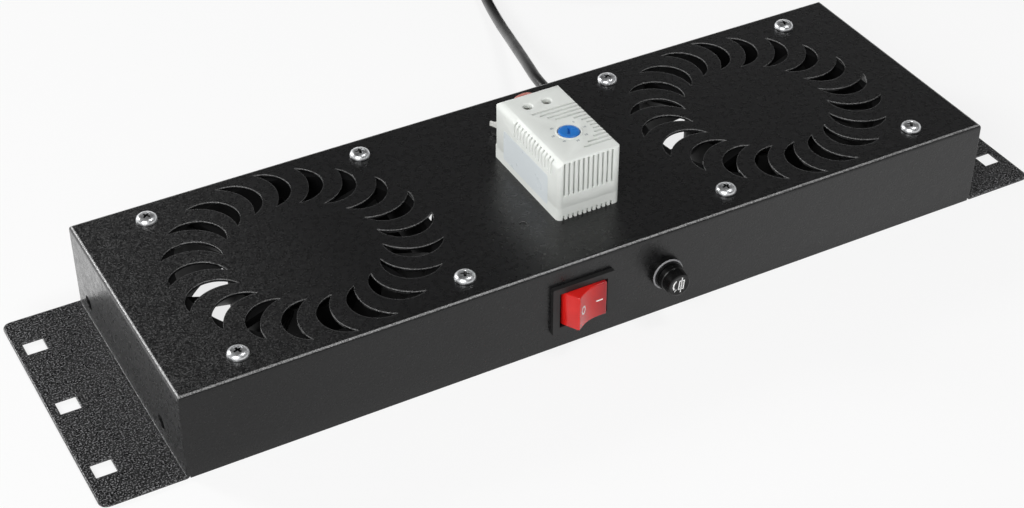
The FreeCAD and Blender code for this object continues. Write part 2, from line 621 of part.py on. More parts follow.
def make_fan_fasteners():
    bolts = []
    nuts = []
    for side, fan_x in SIDES.items():
        for sign_x in (-1, 1):
            for sign_y in (-1, 1):
                tag = f"{side}_{sign_x + 1}_{sign_y + 1}"
                x, y = f"{fan_x} + {sign_x} * bolt_span / 2", f"{sign_y} * bolt_span / 2"
                head = rod(f"bolt_rim_{tag}", "bolt_head", "bolt_head_rise * 0.55", x, y, "tray_height")
                crown = taper(f"bolt_crown_{tag}", "bolt_head", "bolt_head * 0.62", "bolt_head_rise * 0.45",
                              x, y,
                              "tray_height + bolt_head_rise * 0.55")
                shank = rod(f"bolt_shank_{tag}", "bolt_shank", "bolt_length", x, y,
                            "tray_height - bolt_length")
                bolts.append(joined(f"bolt_{tag}", [head, crown, shank]))
                low = f"{DECK_UNDER} - fan_flange - nut_height"
                blank = hexagon(f"nut_blank_{tag}", "nut_width", "nut_height", x, y, low)
                hole = rod(f"nut_hole_{tag}", "bolt_shank + 2 * seat_gap", "nut_height + 2", x, y,
                           f"{low} - 1")
                nuts.append(less(f"nut_{tag}", blank, [hole]))
    group("fan_bolts", bolts)
    group("fan_nuts", nuts)


# ---------------------------------------------------------------- thermostat

THERMO_TOP = "(tray_height + thermo_height)"
THERMO_SPLIT = "(tray_height + thermo_base)"
THERMO_FRONT = "(thermo_y - thermo_length / 2)"
FIRST_FRONT_VENT = "(thermo_x + front_vent_shift - vent_pitch * (front_vents - 1) / 2)"
CLAMP_Z = "(tray_height + clamp_rise)"


def make_thermostat_cover():
    body = new_body("thermostat_cover")
    half = "thermo_width / 2"
    section = new_sketch(body, "cover_section", "XZ_Plane", x="thermo_x", z="-thermo_y")
    draw(section, [
        (f"-{half}", THERMO_SPLIT), (half, THERMO_SPLIT), (half, f"{THERMO_TOP} - right_bevel"),
        (f"{half} - right_bevel", THERMO_TOP), (f"left_bevel - {half}", THERMO_TOP),
        (f"-{half}", f"{THERMO_TOP} - left_bevel")])
    pad(body, section, "thermo_length", symmetric=True)
    ends = new_sketch(body, "cover_end_bevels", "YZ_Plane", x="thermo_y")
    for sign, bevel in ((-1, "front_bevel"), (1, "rear_bevel")):
        edge = f"{sign} * thermo_length / 2"
        draw(ends, [(edge, f"{THERMO_TOP} - {bevel}"), (f"{edge} + {sign}", f"{THERMO_TOP} + 1"),
                    (f"{edge} - {sign} * {bevel}", THERMO_TOP)])
    pocket(body, ends)

    def upright(edge):
        box_ = edge.BoundBox
        return box_.ZLength > 10 and box_.XLength + box_.YLength < 0.01
    round_edges(body, "thermo_round", upright, "cover_rounds")

    inside = new_sketch(body, "cover_inside", "XY_Plane", x="thermo_x", y="thermo_y", z=THERMO_SPLIT)
    oblong(inside, "thermo_width - 2 * thermo_wall", "thermo_length - thermo_wall - thermo_rear_wall", "0",
           "(thermo_wall - thermo_rear_wall) / 2")
    pocket(body, inside, "thermo_height - thermo_base - thermo_roof", along=True)

    vent = new_sketch(body, "front_vent", "XZ_Plane", x=FIRST_FRONT_VENT, z=f"-{THERMO_FRONT}")
    oblong(vent, "vent_width", "front_vent_high - front_vent_low", "0",
           "tray_height + (front_vent_high + front_vent_low) / 2")
    row_of_copies(body, pocket(body, vent, "thermo_wall * 1.2"), "H_Axis", "front_vents", "vent_pitch")
    high = f"{THERMO_TOP} - side_vent_top"
    low = "tray_height + side_vent_low"
    for side, sign in (("left", -1), ("right", 1)):
        slot = new_sketch(body, f"{side}_vent", "YZ_Plane", x="groove_rear",
                          z=f"thermo_x + {sign} * {half}")
        oblong(slot, "vent_width", f"{high} - ({low})", "0", f"({high} + {low}) / 2")
        cut = pocket(body, slot, "thermo_wall * 1.2", along=sign < 0)
        row_of_copies(body, cut, "H_Axis", "side_vents", "vent_row_pitch", backwards=True)

    groove = new_sketch(body, "roof_groove", "XY_Plane", y="groove_rear", z=THERMO_TOP)
    right_end = f"thermo_x + {half} + lap"
    oblong(groove, "groove_reach", "groove_width", f"{right_end} - groove_reach / 2")
    row_of_copies(body, pocket(body, groove, "groove_depth"), "V_Axis", "side_vents", "vent_row_pitch",
                  backwards=True)
    left_end = f"{right_end} - groove_reach - land_gap"
    last = "groove_rear - vent_row_pitch * (side_vents - 1) - groove_width"
    land = new_sketch(body, "dial_land", "XY_Plane", z=THERMO_TOP)
    draw(land, [(left_end, "groove_rear - vent_row_pitch / 2"),
                (f"{right_end} - groove_reach + vent_row_pitch / 2", "groove_rear - vent_row_pitch / 2"),
                ("dial_x", "dial_y + dial_clear / 2 - land_gap"), ("dial_x", last), (left_end, last)])
    pad(body, land, "groove_depth", down=True)
    dial_land = new_sketch(body, "dial_round_land", "XY_Plane", z=THERMO_TOP)
    circle(dial_land, "dial_clear", "dial_x", "dial_y")
    pad(body, dial_land, "groove_depth", down=True)

    holes = new_sketch(body, "roof_holes", "XY_Plane", z=THERMO_TOP)
    circle(holes, "dial + 2 * dial_gap", "dial_x", "dial_y")
    for sign in (-1, 1):
        circle(holes, "screw_hole", f"screw_hole_x + {sign} * screw_hole_span / 2", "screw_hole_y")
    pocket(body, holes, "thermo_roof * 1.2")
    entry = new_sketch(body, "wire_entries", "XZ_Plane", z="-(thermo_y + thermo_length / 2)")
    for sign in (-1, 1):
        oblong(entry, "entry_width", "entry_height", f"thermo_x + 2.6 + {sign} * (entry_width + 1) / 2",
               CLAMP_Z)
    pocket(body, entry, "thermo_rear_wall * 1.2", along=True)


def make_thermostat_base():
    x, y = "thermo_x", "thermo_y"
    body = new_body("thermostat_base")
    outline = new_sketch(body, "base_outline", "XY_Plane", x=x, y=y, z="tray_height")
    oblong(outline, "thermo_width", "thermo_length", radius="thermo_round")
    pad(body, outline, "thermo_base")
    inside = new_sketch(body, "base_inside", "XY_Plane", x=x, y=y, z="tray_height + thermo_floor")
    oblong(inside, "thermo_width - 2 * thermo_wall", "thermo_length - 2 * thermo_wall")
    pocket(body, inside, "thermo_base", along=True)
    notch = new_sketch(body, "base_notch", "XZ_Plane", x=FIRST_FRONT_VENT, z=f"-{THERMO_FRONT}")
    oblong(notch, "vent_width", "notch_height", "0", "tray_height + notch_height / 2")
    row_of_copies(body, pocket(body, notch, "notch_depth"), "H_Axis", "front_vents", "vent_pitch")
    bores = new_sketch(body, "base_bores", "XY_Plane", x=x, y=y, z="tray_height + thermo_floor")
    for sign in (-1, 1):
        circle(bores, "fixing_shank + 2 * seat_gap", "0", f"{sign} * fixing_span / 2")
    pocket(body, bores, "2 * thermo_floor")
    screws = []
    for sign in (-1, 1):
        spot = f"{y} + {sign} * fixing_span / 2"
        head = rod(f"fixing_head_{sign + 1}", "fixing_head", "2", x, spot, f"{DECK_UNDER} - 2")
        shank = rod(f"fixing_shank_{sign + 1}", "fixing_shank", "steel + thermo_floor + 2", x, spot,
                    DECK_UNDER)
        screws.append(joined(f"fixing_{sign + 1}", [head, shank]))
    group("thermostat_fixing_screws", screws)


def make_thermostat_inside():
    floor = "tray_height + thermo_floor"
    inner_top = f"{THERMO_TOP} - thermo_roof"
    knob = rod("dial_disc", "dial", "dial_thick", "dial_x", "dial_y",
               f"{THERMO_TOP} + dial_proud - dial_thick")
    stem = rod("dial_stem", "spindle", f"{THERMO_TOP} - ({floor}) - 4", "dial_x", "dial_y",
               f"{floor} + 3.2")
    slot = box("dial_slot", "1.1", "dial * 0.62", "2", "dial_x", "dial_y", f"{THERMO_TOP} + dial_proud - 1",
               turn="dial_turn")
    sub_part(less("thermostat_dial", joined("dial_solid", [knob, stem]), [slot]), "thermostat_dial")

    post = box("dial_post", "spindle + 6", "spindle + 6", "12", "dial_x", "dial_y", floor)
    seat = rod("post_bore", "spindle + 2 * running_gap", "12", "dial_x", "dial_y", f"{floor} + 3")
    sub_part(less("thermostat_dial_post", post, [seat]), "thermostat_dial_post")
    foot = box("strip_foot", "8", "6", "4", "thermo_x", "thermo_y + 4", floor)
    blade = box("strip_blade", "6", "0.8", "17", "thermo_x", "thermo_y + 4", f"{floor} + 4")
    sub_part(joined("bimetal_strip", [foot, blade]), "bimetal_strip")

    clamps = []
    screws = []
    for sign in (-1, 1):
        x = f"screw_hole_x + {sign} * screw_hole_span / 2"
        low = f"{CLAMP_Z} - clamp_height / 2 - 1.5"
        pillar = box(f"clamp_pillar_{sign + 1}", "3", "clamp", f"{low} - ({floor})", x, "screw_hole_y",
                     floor)
        cage = box(f"clamp_cage_{sign + 1}", "clamp", "clamp", "clamp_height", x, "screw_hole_y", low)
        throat = rod(f"clamp_throat_{sign + 1}", "core + 2 * seat_gap", "clamp", x,
                     "screw_hole_y + clamp / 2 + 1",
                     CLAMP_Z, (0, -1, 0))
        bore = rod(f"clamp_bore_{sign + 1}", "2.5 + 2 * seat_gap", "clamp_height / 2", x, "screw_hole_y",
                   f"{CLAMP_Z} + core / 2 + 0.2")
        clamps.append(less(f"clamp_{sign + 1}", joined(f"clamp_solid_{sign + 1}", [pillar, cage]), [throat,
                                                                                                    bore]))
        head = rod(f"clamp_head_{sign + 1}", "clamp_screw", "2.2", x, "screw_hole_y",
                   f"{low} + clamp_height")
        shank_low = f"{CLAMP_Z} + core / 2 + 0.3"
        shank = rod(f"clamp_shank_{sign + 1}", "2.5", f"{low} + clamp_height + 1 - ({shank_low})", x,
                    "screw_hole_y", shank_low)
        screws.append(joined(f"clamp_screw_{sign + 1}", [head, shank]))
    group("thermostat_clamps", clamps)
    group("thermostat_clamp_screws", screws)


# ---------------------------------------------------------------- rocker switch

SWITCH_FACE = f"({FRONT} - bezel_thick)"
PIVOT_Y = f"({FRONT} - bezel_thick + pivot_depth)"


def make_switch():
    bezel = box("bezel", "bezel_width", "bezel_thick", "bezel_height", "switch_x",
                f"{FRONT} - bezel_thick / 2", "control_z - bezel_height / 2")
    shell = box("switch_shell", "switch_width", "switch_depth", "switch_height", "switch_x",
                f"{FRONT} + switch_depth / 2", "control_z - switch_height / 2")
    clips = [box(f"snap_clip_{sign + 1}", "1.2", "5", "8", f"switch_x + {sign} * (switch_width / 2 + 0.4)",
                 f"{FRONT} + steel + 2.6", "control_z - 4") for sign in (-1, 1)]
    mouth = box("switch_mouth", "mouth_width", "mouth_depth", "mouth_height", "switch_x",
                f"{SWITCH_FACE} + mouth_depth / 2", "control_z - mouth_height / 2")
    pins = rod("pin_bore", "pivot_pin + 2 * running_gap", "mouth_height + 2 * pin_reach + 0.4", "switch_x",
               PIVOT_Y, "control_z - mouth_height / 2 - pin_reach - 0.2")
    slots = []
    blades = []
    for sign_x in (-1, 1):
        for sign_z in (-1, 1):
            x, z = f"switch_x + {sign_x} * terminal_x", f"control_z + {sign_z} * terminal_z"
            tag = f"{sign_x + 1}_{sign_z + 1}"
            back = f"{FRONT} + switch_depth"
            blades.append(box(f"blade_{tag}", "terminal_thick", "terminal_reach + 3", "blade_terminal", x,
                              f"{back} + terminal_reach / 2 - 1.5", f"{z} - blade_terminal / 2"))
            slots.append(box(f"blade_slot_{tag}", "terminal_thick", "6", "blade_terminal", x, back,
                             f"{z} - blade_terminal / 2"))
    body = joined("switch_solid", [bezel, shell, *clips])
    sub_part(less("switch_body", body, [mouth, pins, *slots]), "switch_body")
    group("switch_terminals", blades)

    body = new_body("switch_rocker")
    side = new_sketch(body, "rocker_side", "XY_Plane", z="control_z")
    draw(side, [("-ridge_half", "-ridge_out", "-rocker_dish"), ("ridge_half", "-ridge_out"),
                ("rocker_half", "-rocker_skirt"), ("rocker_half", "rocker_skirt / 2"),
                ("-rocker_half", "rocker_skirt / 2"), ("-rocker_half", "-rocker_skirt")])
    pad(body, side, "mouth_height - 2 * rocker_gap", symmetric=True)
    pin = new_sketch(body, "rocker_pin", "XY_Plane", z="control_z")
    circle(pin, "pivot_pin")
    pad(body, pin, "mouth_height + 2 * pin_reach", symmetric=True)
    body.Placement = FreeCAD.Placement(Vector(), FreeCAD.Rotation(Vector(0, 0, 1), 1))
    body.setExpression("Placement.Rotation.Angle", bound("rocker_tilt"))
    body.setExpression("Placement.Base.x", bound("switch_x"))
    body.setExpression("Placement.Base.y", bound(PIVOT_Y))


# ---------------------------------------------------------------- fuse holder

HOLDER_FACE = f"({FRONT} - holder_flange_thick)"
HOLDER_MOUTH = f"({HOLDER_FACE} - holder_collar)"
BACK, OUT = (0, 1, 0), (0, -1, 0)


def make_fuse_holder():
    x, z = "fuse_x", "control_z"
    flange = rod("holder_flange_ring", "holder_flange", "holder_flange_thick", x, FRONT, z, OUT)
    collar = rod("holder_collar_ring", "collar_width", "holder_collar", x, HOLDER_FACE, z, OUT)
    barrel = rod("holder_barrel", "holder_body", "holder_depth", x, FRONT, z, BACK)
    bore = rod("holder_bore_rod", "holder_bore",
               "holder_collar + holder_flange_thick + holder_depth - holder_end", x,
               HOLDER_MOUTH, z, BACK)
    end_slot = rod("holder_end_hole", "3", "holder_end + 2", x, f"{FRONT} + holder_depth - holder_end - 1",
                   z, BACK)
    side_y = f"{FRONT} + holder_depth * 0.55"
    side_hole = box("holder_side_hole", "4.2", "0.8", "4", f"{x} + holder_body / 2 - 0.6", side_y,
                    f"{z} - 2")
    sub_part(less("fuse_holder_body", joined("holder_solid", [flange, collar, barrel]), [bore, end_slot,
                                                                                         side_hole]),
             "fuse_holder_body")
    end_y = f"{FRONT} + holder_depth"
    fuse_end = f"({HOLDER_FACE} + fuse_seat + fuse_length)"
    stud = rod("end_contact_rod", "3", f"{end_y} - {fuse_end} - cap_gap", x, f"{fuse_end} + cap_gap", z,
               BACK)
    tag = box("end_contact_tag", "4", "9", "0.8", x, f"{end_y} + 4.5", f"{z} - 0.4")
    side = box("side_contact_tag", "8", "0.8", "4", f"{x} + holder_body / 2 + 2.6", side_y, f"{z} - 2")
    group("fuse_terminals", [joined("end_contact", [stud, tag]), side])
    nut = rod("holder_nut_disc", "holder_nut", "holder_nut_thick", x, f"{FRONT} + steel", z, BACK)
    hole = rod("holder_nut_hole", "holder_body + 2 * seat_gap", "holder_nut_thick + 2", x, FRONT, z, BACK)
    sub_part(less("fuse_holder_nut", nut, [hole]), "fuse_holder_nut")

    knob_start = f"{HOLDER_MOUTH} - cap_gap"
    knob = taper("cap_knob", "cap_base", "cap_face", "cap_rise - holder_collar - cap_gap", x, knob_start, z,
                 OUT)
    stem = rod("cap_stem_rod", "cap_stem", "cap_stem_depth + holder_collar + cap_gap", x, knob_start, z,
               BACK)
    ferrule_start = f"({HOLDER_FACE} + fuse_seat)"
    cup = rod("cap_cup", "fuse_ferrule + 2 * running_gap", "cap_stem_depth", x, ferrule_start, z, BACK)
    sub_part(less("fuse_cap", joined("cap_solid", [knob, stem]), [cup]), "fuse_cap")

    glass = rod("glass_rod", "fuse_tube", "fuse_length - 2 * ferrule_length + 2", x,
                f"{ferrule_start} + ferrule_length - 1", z, BACK)
    sub_part(glass, "fuse_glass")
    ferrules = []
    for name, start in (("front", ferrule_start), ("rear",
                                                   f"{ferrule_start} + fuse_length - ferrule_length")):
        ring = rod(f"ferrule_{name}_rod", "fuse_ferrule", "ferrule_length", x, start, z, BACK)
        lip = f"{ferrule_start} + ferrule_length - 1" if name == "front" else start
        seat = rod(f"ferrule_{name}_seat", "fuse_tube", "1", x, lip, z, BACK)
        ferrules.append(less(f"ferrule_{name}", ring, [seat]))
    group("fuse_ferrules", ferrules)


# ---------------------------------------------------------------- mains lead

COIL_LOW = "tie_thick"
COIL_MIDDLE = "(coil_outer / 2 - lead / 2)"


def heading(angle):
    """The way that clockwise turns run at this angle of the coil, seen from above."""
    return math.sin(math.radians(angle)), -math.cos(math.radians(angle))


def coil_point(angle, along):
    """A point of the coil's tangent at an angle, so far along from where it touches the outer turns."""
    radius = size(COIL_MIDDLE)
    way = heading(angle)
    return (size("coil_x") + radius * math.cos(math.radians(angle)) + along * way[0],
            size("coil_y") + radius * math.sin(math.radians(angle)) + along * way[1])


def make_lead():
    gland_start = f"{REAR} - steel - gland_flange_thick"
    inner = rod("gland_head", "gland_flange", "gland_flange_thick", "lead_x", gland_start, "lead_z", BACK)
    neck = rod("gland_neck", "gland_bore - 2 * seat_gap", "steel", "lead_x", f"{REAR} - steel", "lead_z",
               BACK)
    collar = rod("gland_collar", "gland_flange - 1", "2", "lead_x", REAR, "lead_z", BACK)
    boot = taper("gland_boot", "gland_bore - 2", "gland_tip", "gland_reach - 2", "lead_x", f"{REAR} + 2",
                 "lead_z",
                 BACK)
    sub_part(joined("cord_strain_relief", [inner, neck, collar, boot]), "cord_strain_relief")
    sub_part(rod("cord_sheath_end", "lead", "sheath_stub", "lead_x", gland_start, "lead_z", OUT),
             "cord_sheath_end")

    entry, leave = size("coil_entry"), size("coil_leave")
    stub, low = size("coil_stub"), size(f"{COIL_LOW} + lead / 2")
    way = heading(entry)
    end = coil_point(entry, -stub)
    route = [
        (size("lead_x"), size(f"{REAR} + gland_reach"), size("lead_z")),
        (size("lead_x"), size(f"{REAR} + gland_reach") + 12, size("lead_z")), (59.0, 117.5, 19.2),
        (64.8, 138.5, 15.0), (70.6, 159.0, 10.4), (76.8, 182.5, 6.0),
        (end[0] - 24 * way[0], end[1] - 24 * way[1], low), (*end, low)]
    sub_part(tube("cord_lead", route, size("lead")), "cord_lead")

    coil = doc.addObject("PartDesign::Body", "coil_turns")
    turns = new_sketch(coil, "coil_section", "XZ_Plane")
    oblong(turns, "(coil_outer - coil_inner) / 2", "coil_height", "(coil_outer + coil_inner) / 4",
           f"{COIL_LOW} + coil_height / 2")
    ring = coil.newObject("PartDesign::Revolution", "coil_ring")
    ring.Profile = turns
    ring.ReferenceAxis = (turns, ["V_Axis"])
    ring.Angle = 360
    settle(coil, ring, True)
    coil.setExpression("Placement.Base.x", bound("coil_x"))
    coil.setExpression("Placement.Base.y", bound("coil_y"))
    into = rod("coil_entry_stub", "lead", "coil_stub", *end, str(low), (*way, 0))
    away = heading(leave)
    out = rod("coil_leave_stub", "lead", "coil_stub", *coil_point(leave, 0), "plug_face / 2", (*away, 0))
    tie_y = "coil_y - (coil_outer + coil_inner) / 4"
    bundle = "(coil_outer - coil_inner) / 2"
    strap = box("tie_strap", "tie_width", f"{bundle} + 2 * tie_thick", "coil_height + 2 * tie_thick",
                "coil_x",
                tie_y, "0")
    space = box("tie_space", "tie_width + 2", bundle, "coil_height", "coil_x", tie_y, COIL_LOW)
    tie = sub_part(less("cord_tie", strap, [space]), "cord_tie")
    sub_part(less("cord_coil", joined("coil_solid", [coil, into, out]), [tie]), "cord_coil")

    reach = stub
    tail = rod("cord_tail", "lead", "tail_length", *coil_point(leave, reach), "plug_face / 2", (*away, 0))
    sub_part(tail, "cord_tail")
    reach += size("tail_length")
    pieces = []
    for name, near, far, length in (("relief", "plug_tip", "plug_tip * 1.4", "plug_relief"),
                                    ("neck", "plug_neck", "plug_face * 0.9", "plug_taper"),
                                    ("face", "plug_face", "plug_face", "plug_face_depth")):
        spot = coil_point(leave, reach)
        make = rod if near == far else taper
        widths = (near,) if near == far else (near, far)
        pieces.append(make(f"plug_{name}", *widths, length, *spot, "plug_face / 2", (*away, 0)))
        reach += size(length)
    sub_part(joined("plug_body", pieces), "plug_body")
    x, y = coil_point(leave, reach)
    pins = []
    for sign in (-1, 1):
        aside = sign * size("pin_span / 2")
        pins.append(rod(f"plug_pin_{sign + 1}", "pin", "pin_length", x - away[1] * aside,
                        y + away[0] * aside,
                        "plug_face / 2", (*away, 0)))
    group("plug_pins", pins)


# ---------------------------------------------------------------- wiring under the deck

def make_wiring():
    block_low = f"({DECK_UNDER} - block_height)"
    wire_z = size(f"{DECK_UNDER} - block_height / 2")
    poles = [f"block_y + {step} * block_pitch" for step in (-1.5, -0.5, 0.5, 1.5)]
    blank = box("block_blank", "block_width", "4 * block_pitch", "block_height", "block_x", "block_y",
                block_low)
    bores = []
    screws = []
    for index, y in enumerate(poles):
        bores.append(rod(f"block_bore_{index}", "block_bore", "block_width + 2",
                         "block_x - block_width / 2 - 1", y,
                         str(wire_z), (1, 0, 0)))
        for sign in (-1, 1):
            x = f"block_x + {sign} * block_width / 4"
            tag = f"{index}_{sign + 1}"
            bores.append(rod(f"block_well_{tag}", "3.6", "2.6", x, y, f"{block_low} - 0.1"))
            screws.append(rod(f"block_screw_{tag}", "3.4", "1.8", x, y, f"{block_low} + 0.6"))
    sub_part(less("terminal_block", blank, bores), "terminal_block")
    group("terminal_block_screws", screws)

    stud = rod("earth_stud", "stud", "stud_length", "stud_x", "stud_y", f"{DECK_UNDER} - stud_length")
    sub_part(stud, "earth_stud")
    lug_z = f"({DECK_UNDER} - 5)"
    eye = rod("lug_eye", "8.4", "0.8", "stud_x", "stud_y", lug_z)
    neck = box("lug_neck", "3", "8", "0.8", "stud_x", "stud_y + 6", lug_z)
    hole = rod("lug_hole", "stud + 2 * seat_gap", "4", "stud_x", "stud_y", f"{lug_z} - 1")
    sub_part(less("earth_lug", joined("lug_solid", [eye, neck]), [hole]), "earth_lug")
    washers = []
    for name, width, height, low in (("upper", "7", f"{DECK_UNDER} - {lug_z} - 0.8", f"{lug_z} + 0.8"),
                                     ("lower", "7", "3.2", f"{lug_z} - 3.2")):
        blank = hexagon(f"{name}_nut_blank", width, height, "stud_x", "stud_y", low)
        hole = rod(f"{name}_nut_hole", "stud + 2 * seat_gap", "10", "stud_x", "stud_y", f"{low} - 1")
        washers.append(less(f"earth_nut_{name}", blank, [hole]))
    group("earth_nuts", washers)

    flange = "wire_hole + 3"
    x, y = "wire_hole_x", "wire_hole_y"
    upper = rod("grommet_upper", flange, "1.2", x, y, "tray_height")
    neck = rod("grommet_neck", "wire_hole - 2 * seat_gap", "steel", x, y, DECK_UNDER)
    lower = rod("grommet_lower", flange, "1.2", x, y, f"{DECK_UNDER} - 1.2")
    hole = rod("grommet_hole", "wire_hole - 1.8", "10", x, y, f"{DECK_UNDER} - 4")
    sub_part(less("wire_grommet", joined("grommet_solid", [upper, neck, lower]), [hole]), "wire_grommet")

    core = size("core")
    z = wire_z
    right_in = size("block_x + block_width / 2 - 2")
    left_in = size("block_x - block_width / 2 + 2")
    rows = [size(pole) for pole in poles]
    cut_end = size(f"{REAR} - steel - gland_flange_thick - sheath_stub")
    lead_x, lead_z = size("lead_x"), size("lead_z")
    clamp_x = [size(f"screw_hole_x + {sign} * screw_hole_span / 2") for sign in (-1, 1)]
    clamp_y, clamp_z = size("screw_hole_y"), size(CLAMP_Z)
    fuse_x, low_z = size("fuse_x"), size("control_z")
    tag_end = size(f"{FRONT} + holder_depth + 9")
    side_y = size(f"{FRONT} + holder_depth * 0.55")
    side_x = size("fuse_x + holder_body / 2 + 6.6")
    frame_edge = size("fan_span / 2 - duct_bore / 2 - duct_wall")
    fan_edge = size("(fan_span - fan_square) / 2")
    spare = fan_edge - right_in
    blade_x = size("switch_x + terminal_x")
    blade_z = [size(f"control_z + {sign} * terminal_z") for sign in (-1, 1)]
    blade_y = size(f"{FRONT} + switch_depth + terminal_reach")
    brown = [
        [(lead_x - 1.6, cut_end, lead_z + 0.9), (lead_x - 1.6, 47, lead_z + 0.9), (46.5, rows[1] + 2.5, 32),
         (41, rows[1], z), (right_in, rows[1], z)],
        [(left_in, rows[1], z), (15, rows[1], z - 0.6), (11.5, 30, 33), (14, 10, 27), (24, -5, 22.8),
         (fuse_x, -15, low_z), (fuse_x, tag_end, low_z)],
        [(side_x, side_y, low_z), (46, side_y, low_z), (47.5, -38, 25), (38, -21, 30), (12, -15, 31),
         (-6, -17, 28.4), (blade_x, -25, blade_z[1]), (blade_x, blade_y, blade_z[1])]]
    blue = [
        [(lead_x + 1.6, cut_end, lead_z + 0.9), (lead_x + 1.6, 45, lead_z + 0.9), (54.4, 35, 30), (49.5,
                                                                                                   28.5,
                                                                                                   z - 0.6),
         (42, rows[0], z), (right_in, rows[0], z)]]
    green = [
        [(lead_x, cut_end, lead_z - 1.6), (lead_x, 44, lead_z - 1.6), (50, 31, 25.5),
         (size("stud_x"), size("stud_y + 17"), size(f"{lug_z} + 0.4")),
         (size("stud_x"), size("stud_y + 10.1"), size(f"{lug_z} + 0.4"))]]
    fans = [
        [(frame_edge, 0, 33), (fan_edge - 4, 0, 33), (fan_edge - 5, 8, 36.8), (fan_edge - 4.5, 34, 39.5),
         (right_in + 0.55 * spare, 49, 38.6), (right_in + 0.3 * spare, rows[3], z), (right_in, rows[3], z)],
        [(-frame_edge, 0, 33), (4.5 - fan_edge, 0, 33), (10 - fan_edge, 9, 36.6), (-31, 34, 39.6), (-9, 49,
                                                                                                    39),
         (8, rows[3], 37.4), (14.5, rows[3], z), (left_in, rows[3], z)]]
    red = [
        [(clamp_x[1], clamp_y, clamp_z), (clamp_x[1], 17, clamp_z), (14, 26, 60.8), (16.4, 31.5, 61.2),
         (14, 35.6, 62.8), (8.6, 36.4, 62.6), (4.4, 37.2, 58.4), (2.5, 38, 52), (2.5, 38.1, 42), (3.2, 39,
                                                                                                  37),
         (8, 42.6, 35.6),
         (14.5, rows[2], z), (left_in, rows[2], z)]]
    black = [
        [(clamp_x[0], clamp_y, clamp_z), (clamp_x[0], 17, clamp_z), (5.2, 27.5, 60.2), (7.2, 32.4, 60.6),
         (4.4, 35.4, 60.6), (0.4, 37.2, 56), (-0.5, 38, 49), (-0.5, 38, 41.5 + 0.01), (-1.6, 36.5, 35), (-6,
                                                                                                         22,
                                                                                                         29),
         (-9, -6, 20), (blade_x, -22, blade_z[0]), (blade_x, blade_y, blade_z[0])]]
    for name, routes, width in (("wires_brown", brown, core), ("wire_blue", blue, core),
                                ("wire_earth", green, core), ("fan_leads", fans, core * 1.4),
                                ("thermostat_wire_red", red, core), ("thermostat_wire_black", black, core)):
        tubes = [tube(f"{name}_{index}", route, width) for index, route in enumerate(routes)]
        if len(tubes) == 1:
            sub_part(tubes[0], name)
        else:
            group(name, tubes)

    ring = box("wire_tie_ring", "core * 2 + 3", "core + 2.2", "2.5", x, y, "tray_height + 3")
    space = box("wire_tie_space", "core * 2 + 1.2", "core + 0.3", "5", x, y, "tray_height + 2")
    tip = box("wire_tie_tip", "1.1", "3.6", "2.2", "wire_hole_x - 3.9", "wire_hole_y + 2.5",
              "tray_height + 3",
              turn="28")
    sub_part(joined("wire_tie", [less("wire_tie_loop", ring, [space]), tip]), "wire_tie")


def make_hole_plug():
    """A snap-in button that closes the deck's spare hole from below."""
    x, y = "spare_x", "spare_y"
    button = rod("plug_button", "spare_bore - 2 * seat_gap", "steel - plug_sink", x, y, DECK_UNDER)
    flange = rod("plug_lip_ring", "plug_flange", "plug_lip", x, y, f"{DECK_UNDER} - plug_lip")
    sub_part(joined("hole_plug", [button, flange]), "hole_plug")


# ---------------------------------------------------------------- the whole tray

make_housing()
for fan_side, fan_place in SIDES.items():
    make_fan_frame(fan_side, fan_place)
    make_impeller(fan_side, fan_place)
    make_motor(fan_side, fan_place)
make_fan_fasteners()
make_thermostat_cover()
make_thermostat_base()
make_thermostat_inside()
make_switch()
make_fuse_holder()
make_lead()
make_wiring()
make_hole_plug()
doc.recompute()

for thing in doc.Objects:
    if any(word in thing.State for word in ("Invalid", "Error")):
        raise RuntimeError(f"{thing.Name} failed: {thing.State}")
for node, thing in SUB_PARTS.items():
    if thing.Shape.isNull() or not thing.Shape.isValid() or not thing.Shape.Solids:
        raise RuntimeError(f"{node} has no valid solid")
    thing.Shape.exportStep(f"parts/{node}.step")
print(f"{len(SUB_PARTS)} sub-parts written")
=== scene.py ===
import json
import math

import bmesh
import bpy
from mathutils import Matrix, Vector


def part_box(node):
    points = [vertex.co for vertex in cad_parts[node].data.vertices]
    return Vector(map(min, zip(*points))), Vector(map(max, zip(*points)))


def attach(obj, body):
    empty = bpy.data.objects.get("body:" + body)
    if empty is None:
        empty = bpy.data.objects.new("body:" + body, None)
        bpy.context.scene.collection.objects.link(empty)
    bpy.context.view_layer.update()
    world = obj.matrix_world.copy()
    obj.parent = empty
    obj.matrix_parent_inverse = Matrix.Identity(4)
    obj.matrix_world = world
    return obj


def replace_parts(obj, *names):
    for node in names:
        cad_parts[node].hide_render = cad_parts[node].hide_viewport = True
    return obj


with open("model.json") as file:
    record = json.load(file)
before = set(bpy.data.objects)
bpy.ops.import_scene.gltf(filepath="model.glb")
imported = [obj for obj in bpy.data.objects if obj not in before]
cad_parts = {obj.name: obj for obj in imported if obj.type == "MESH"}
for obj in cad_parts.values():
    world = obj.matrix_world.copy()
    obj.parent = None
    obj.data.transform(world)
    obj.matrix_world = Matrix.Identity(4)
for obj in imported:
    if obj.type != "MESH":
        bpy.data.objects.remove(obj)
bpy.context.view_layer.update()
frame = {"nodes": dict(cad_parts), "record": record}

NODES = frame["nodes"]
MM = 0.001


# ---------------------------------------------------------------- camera

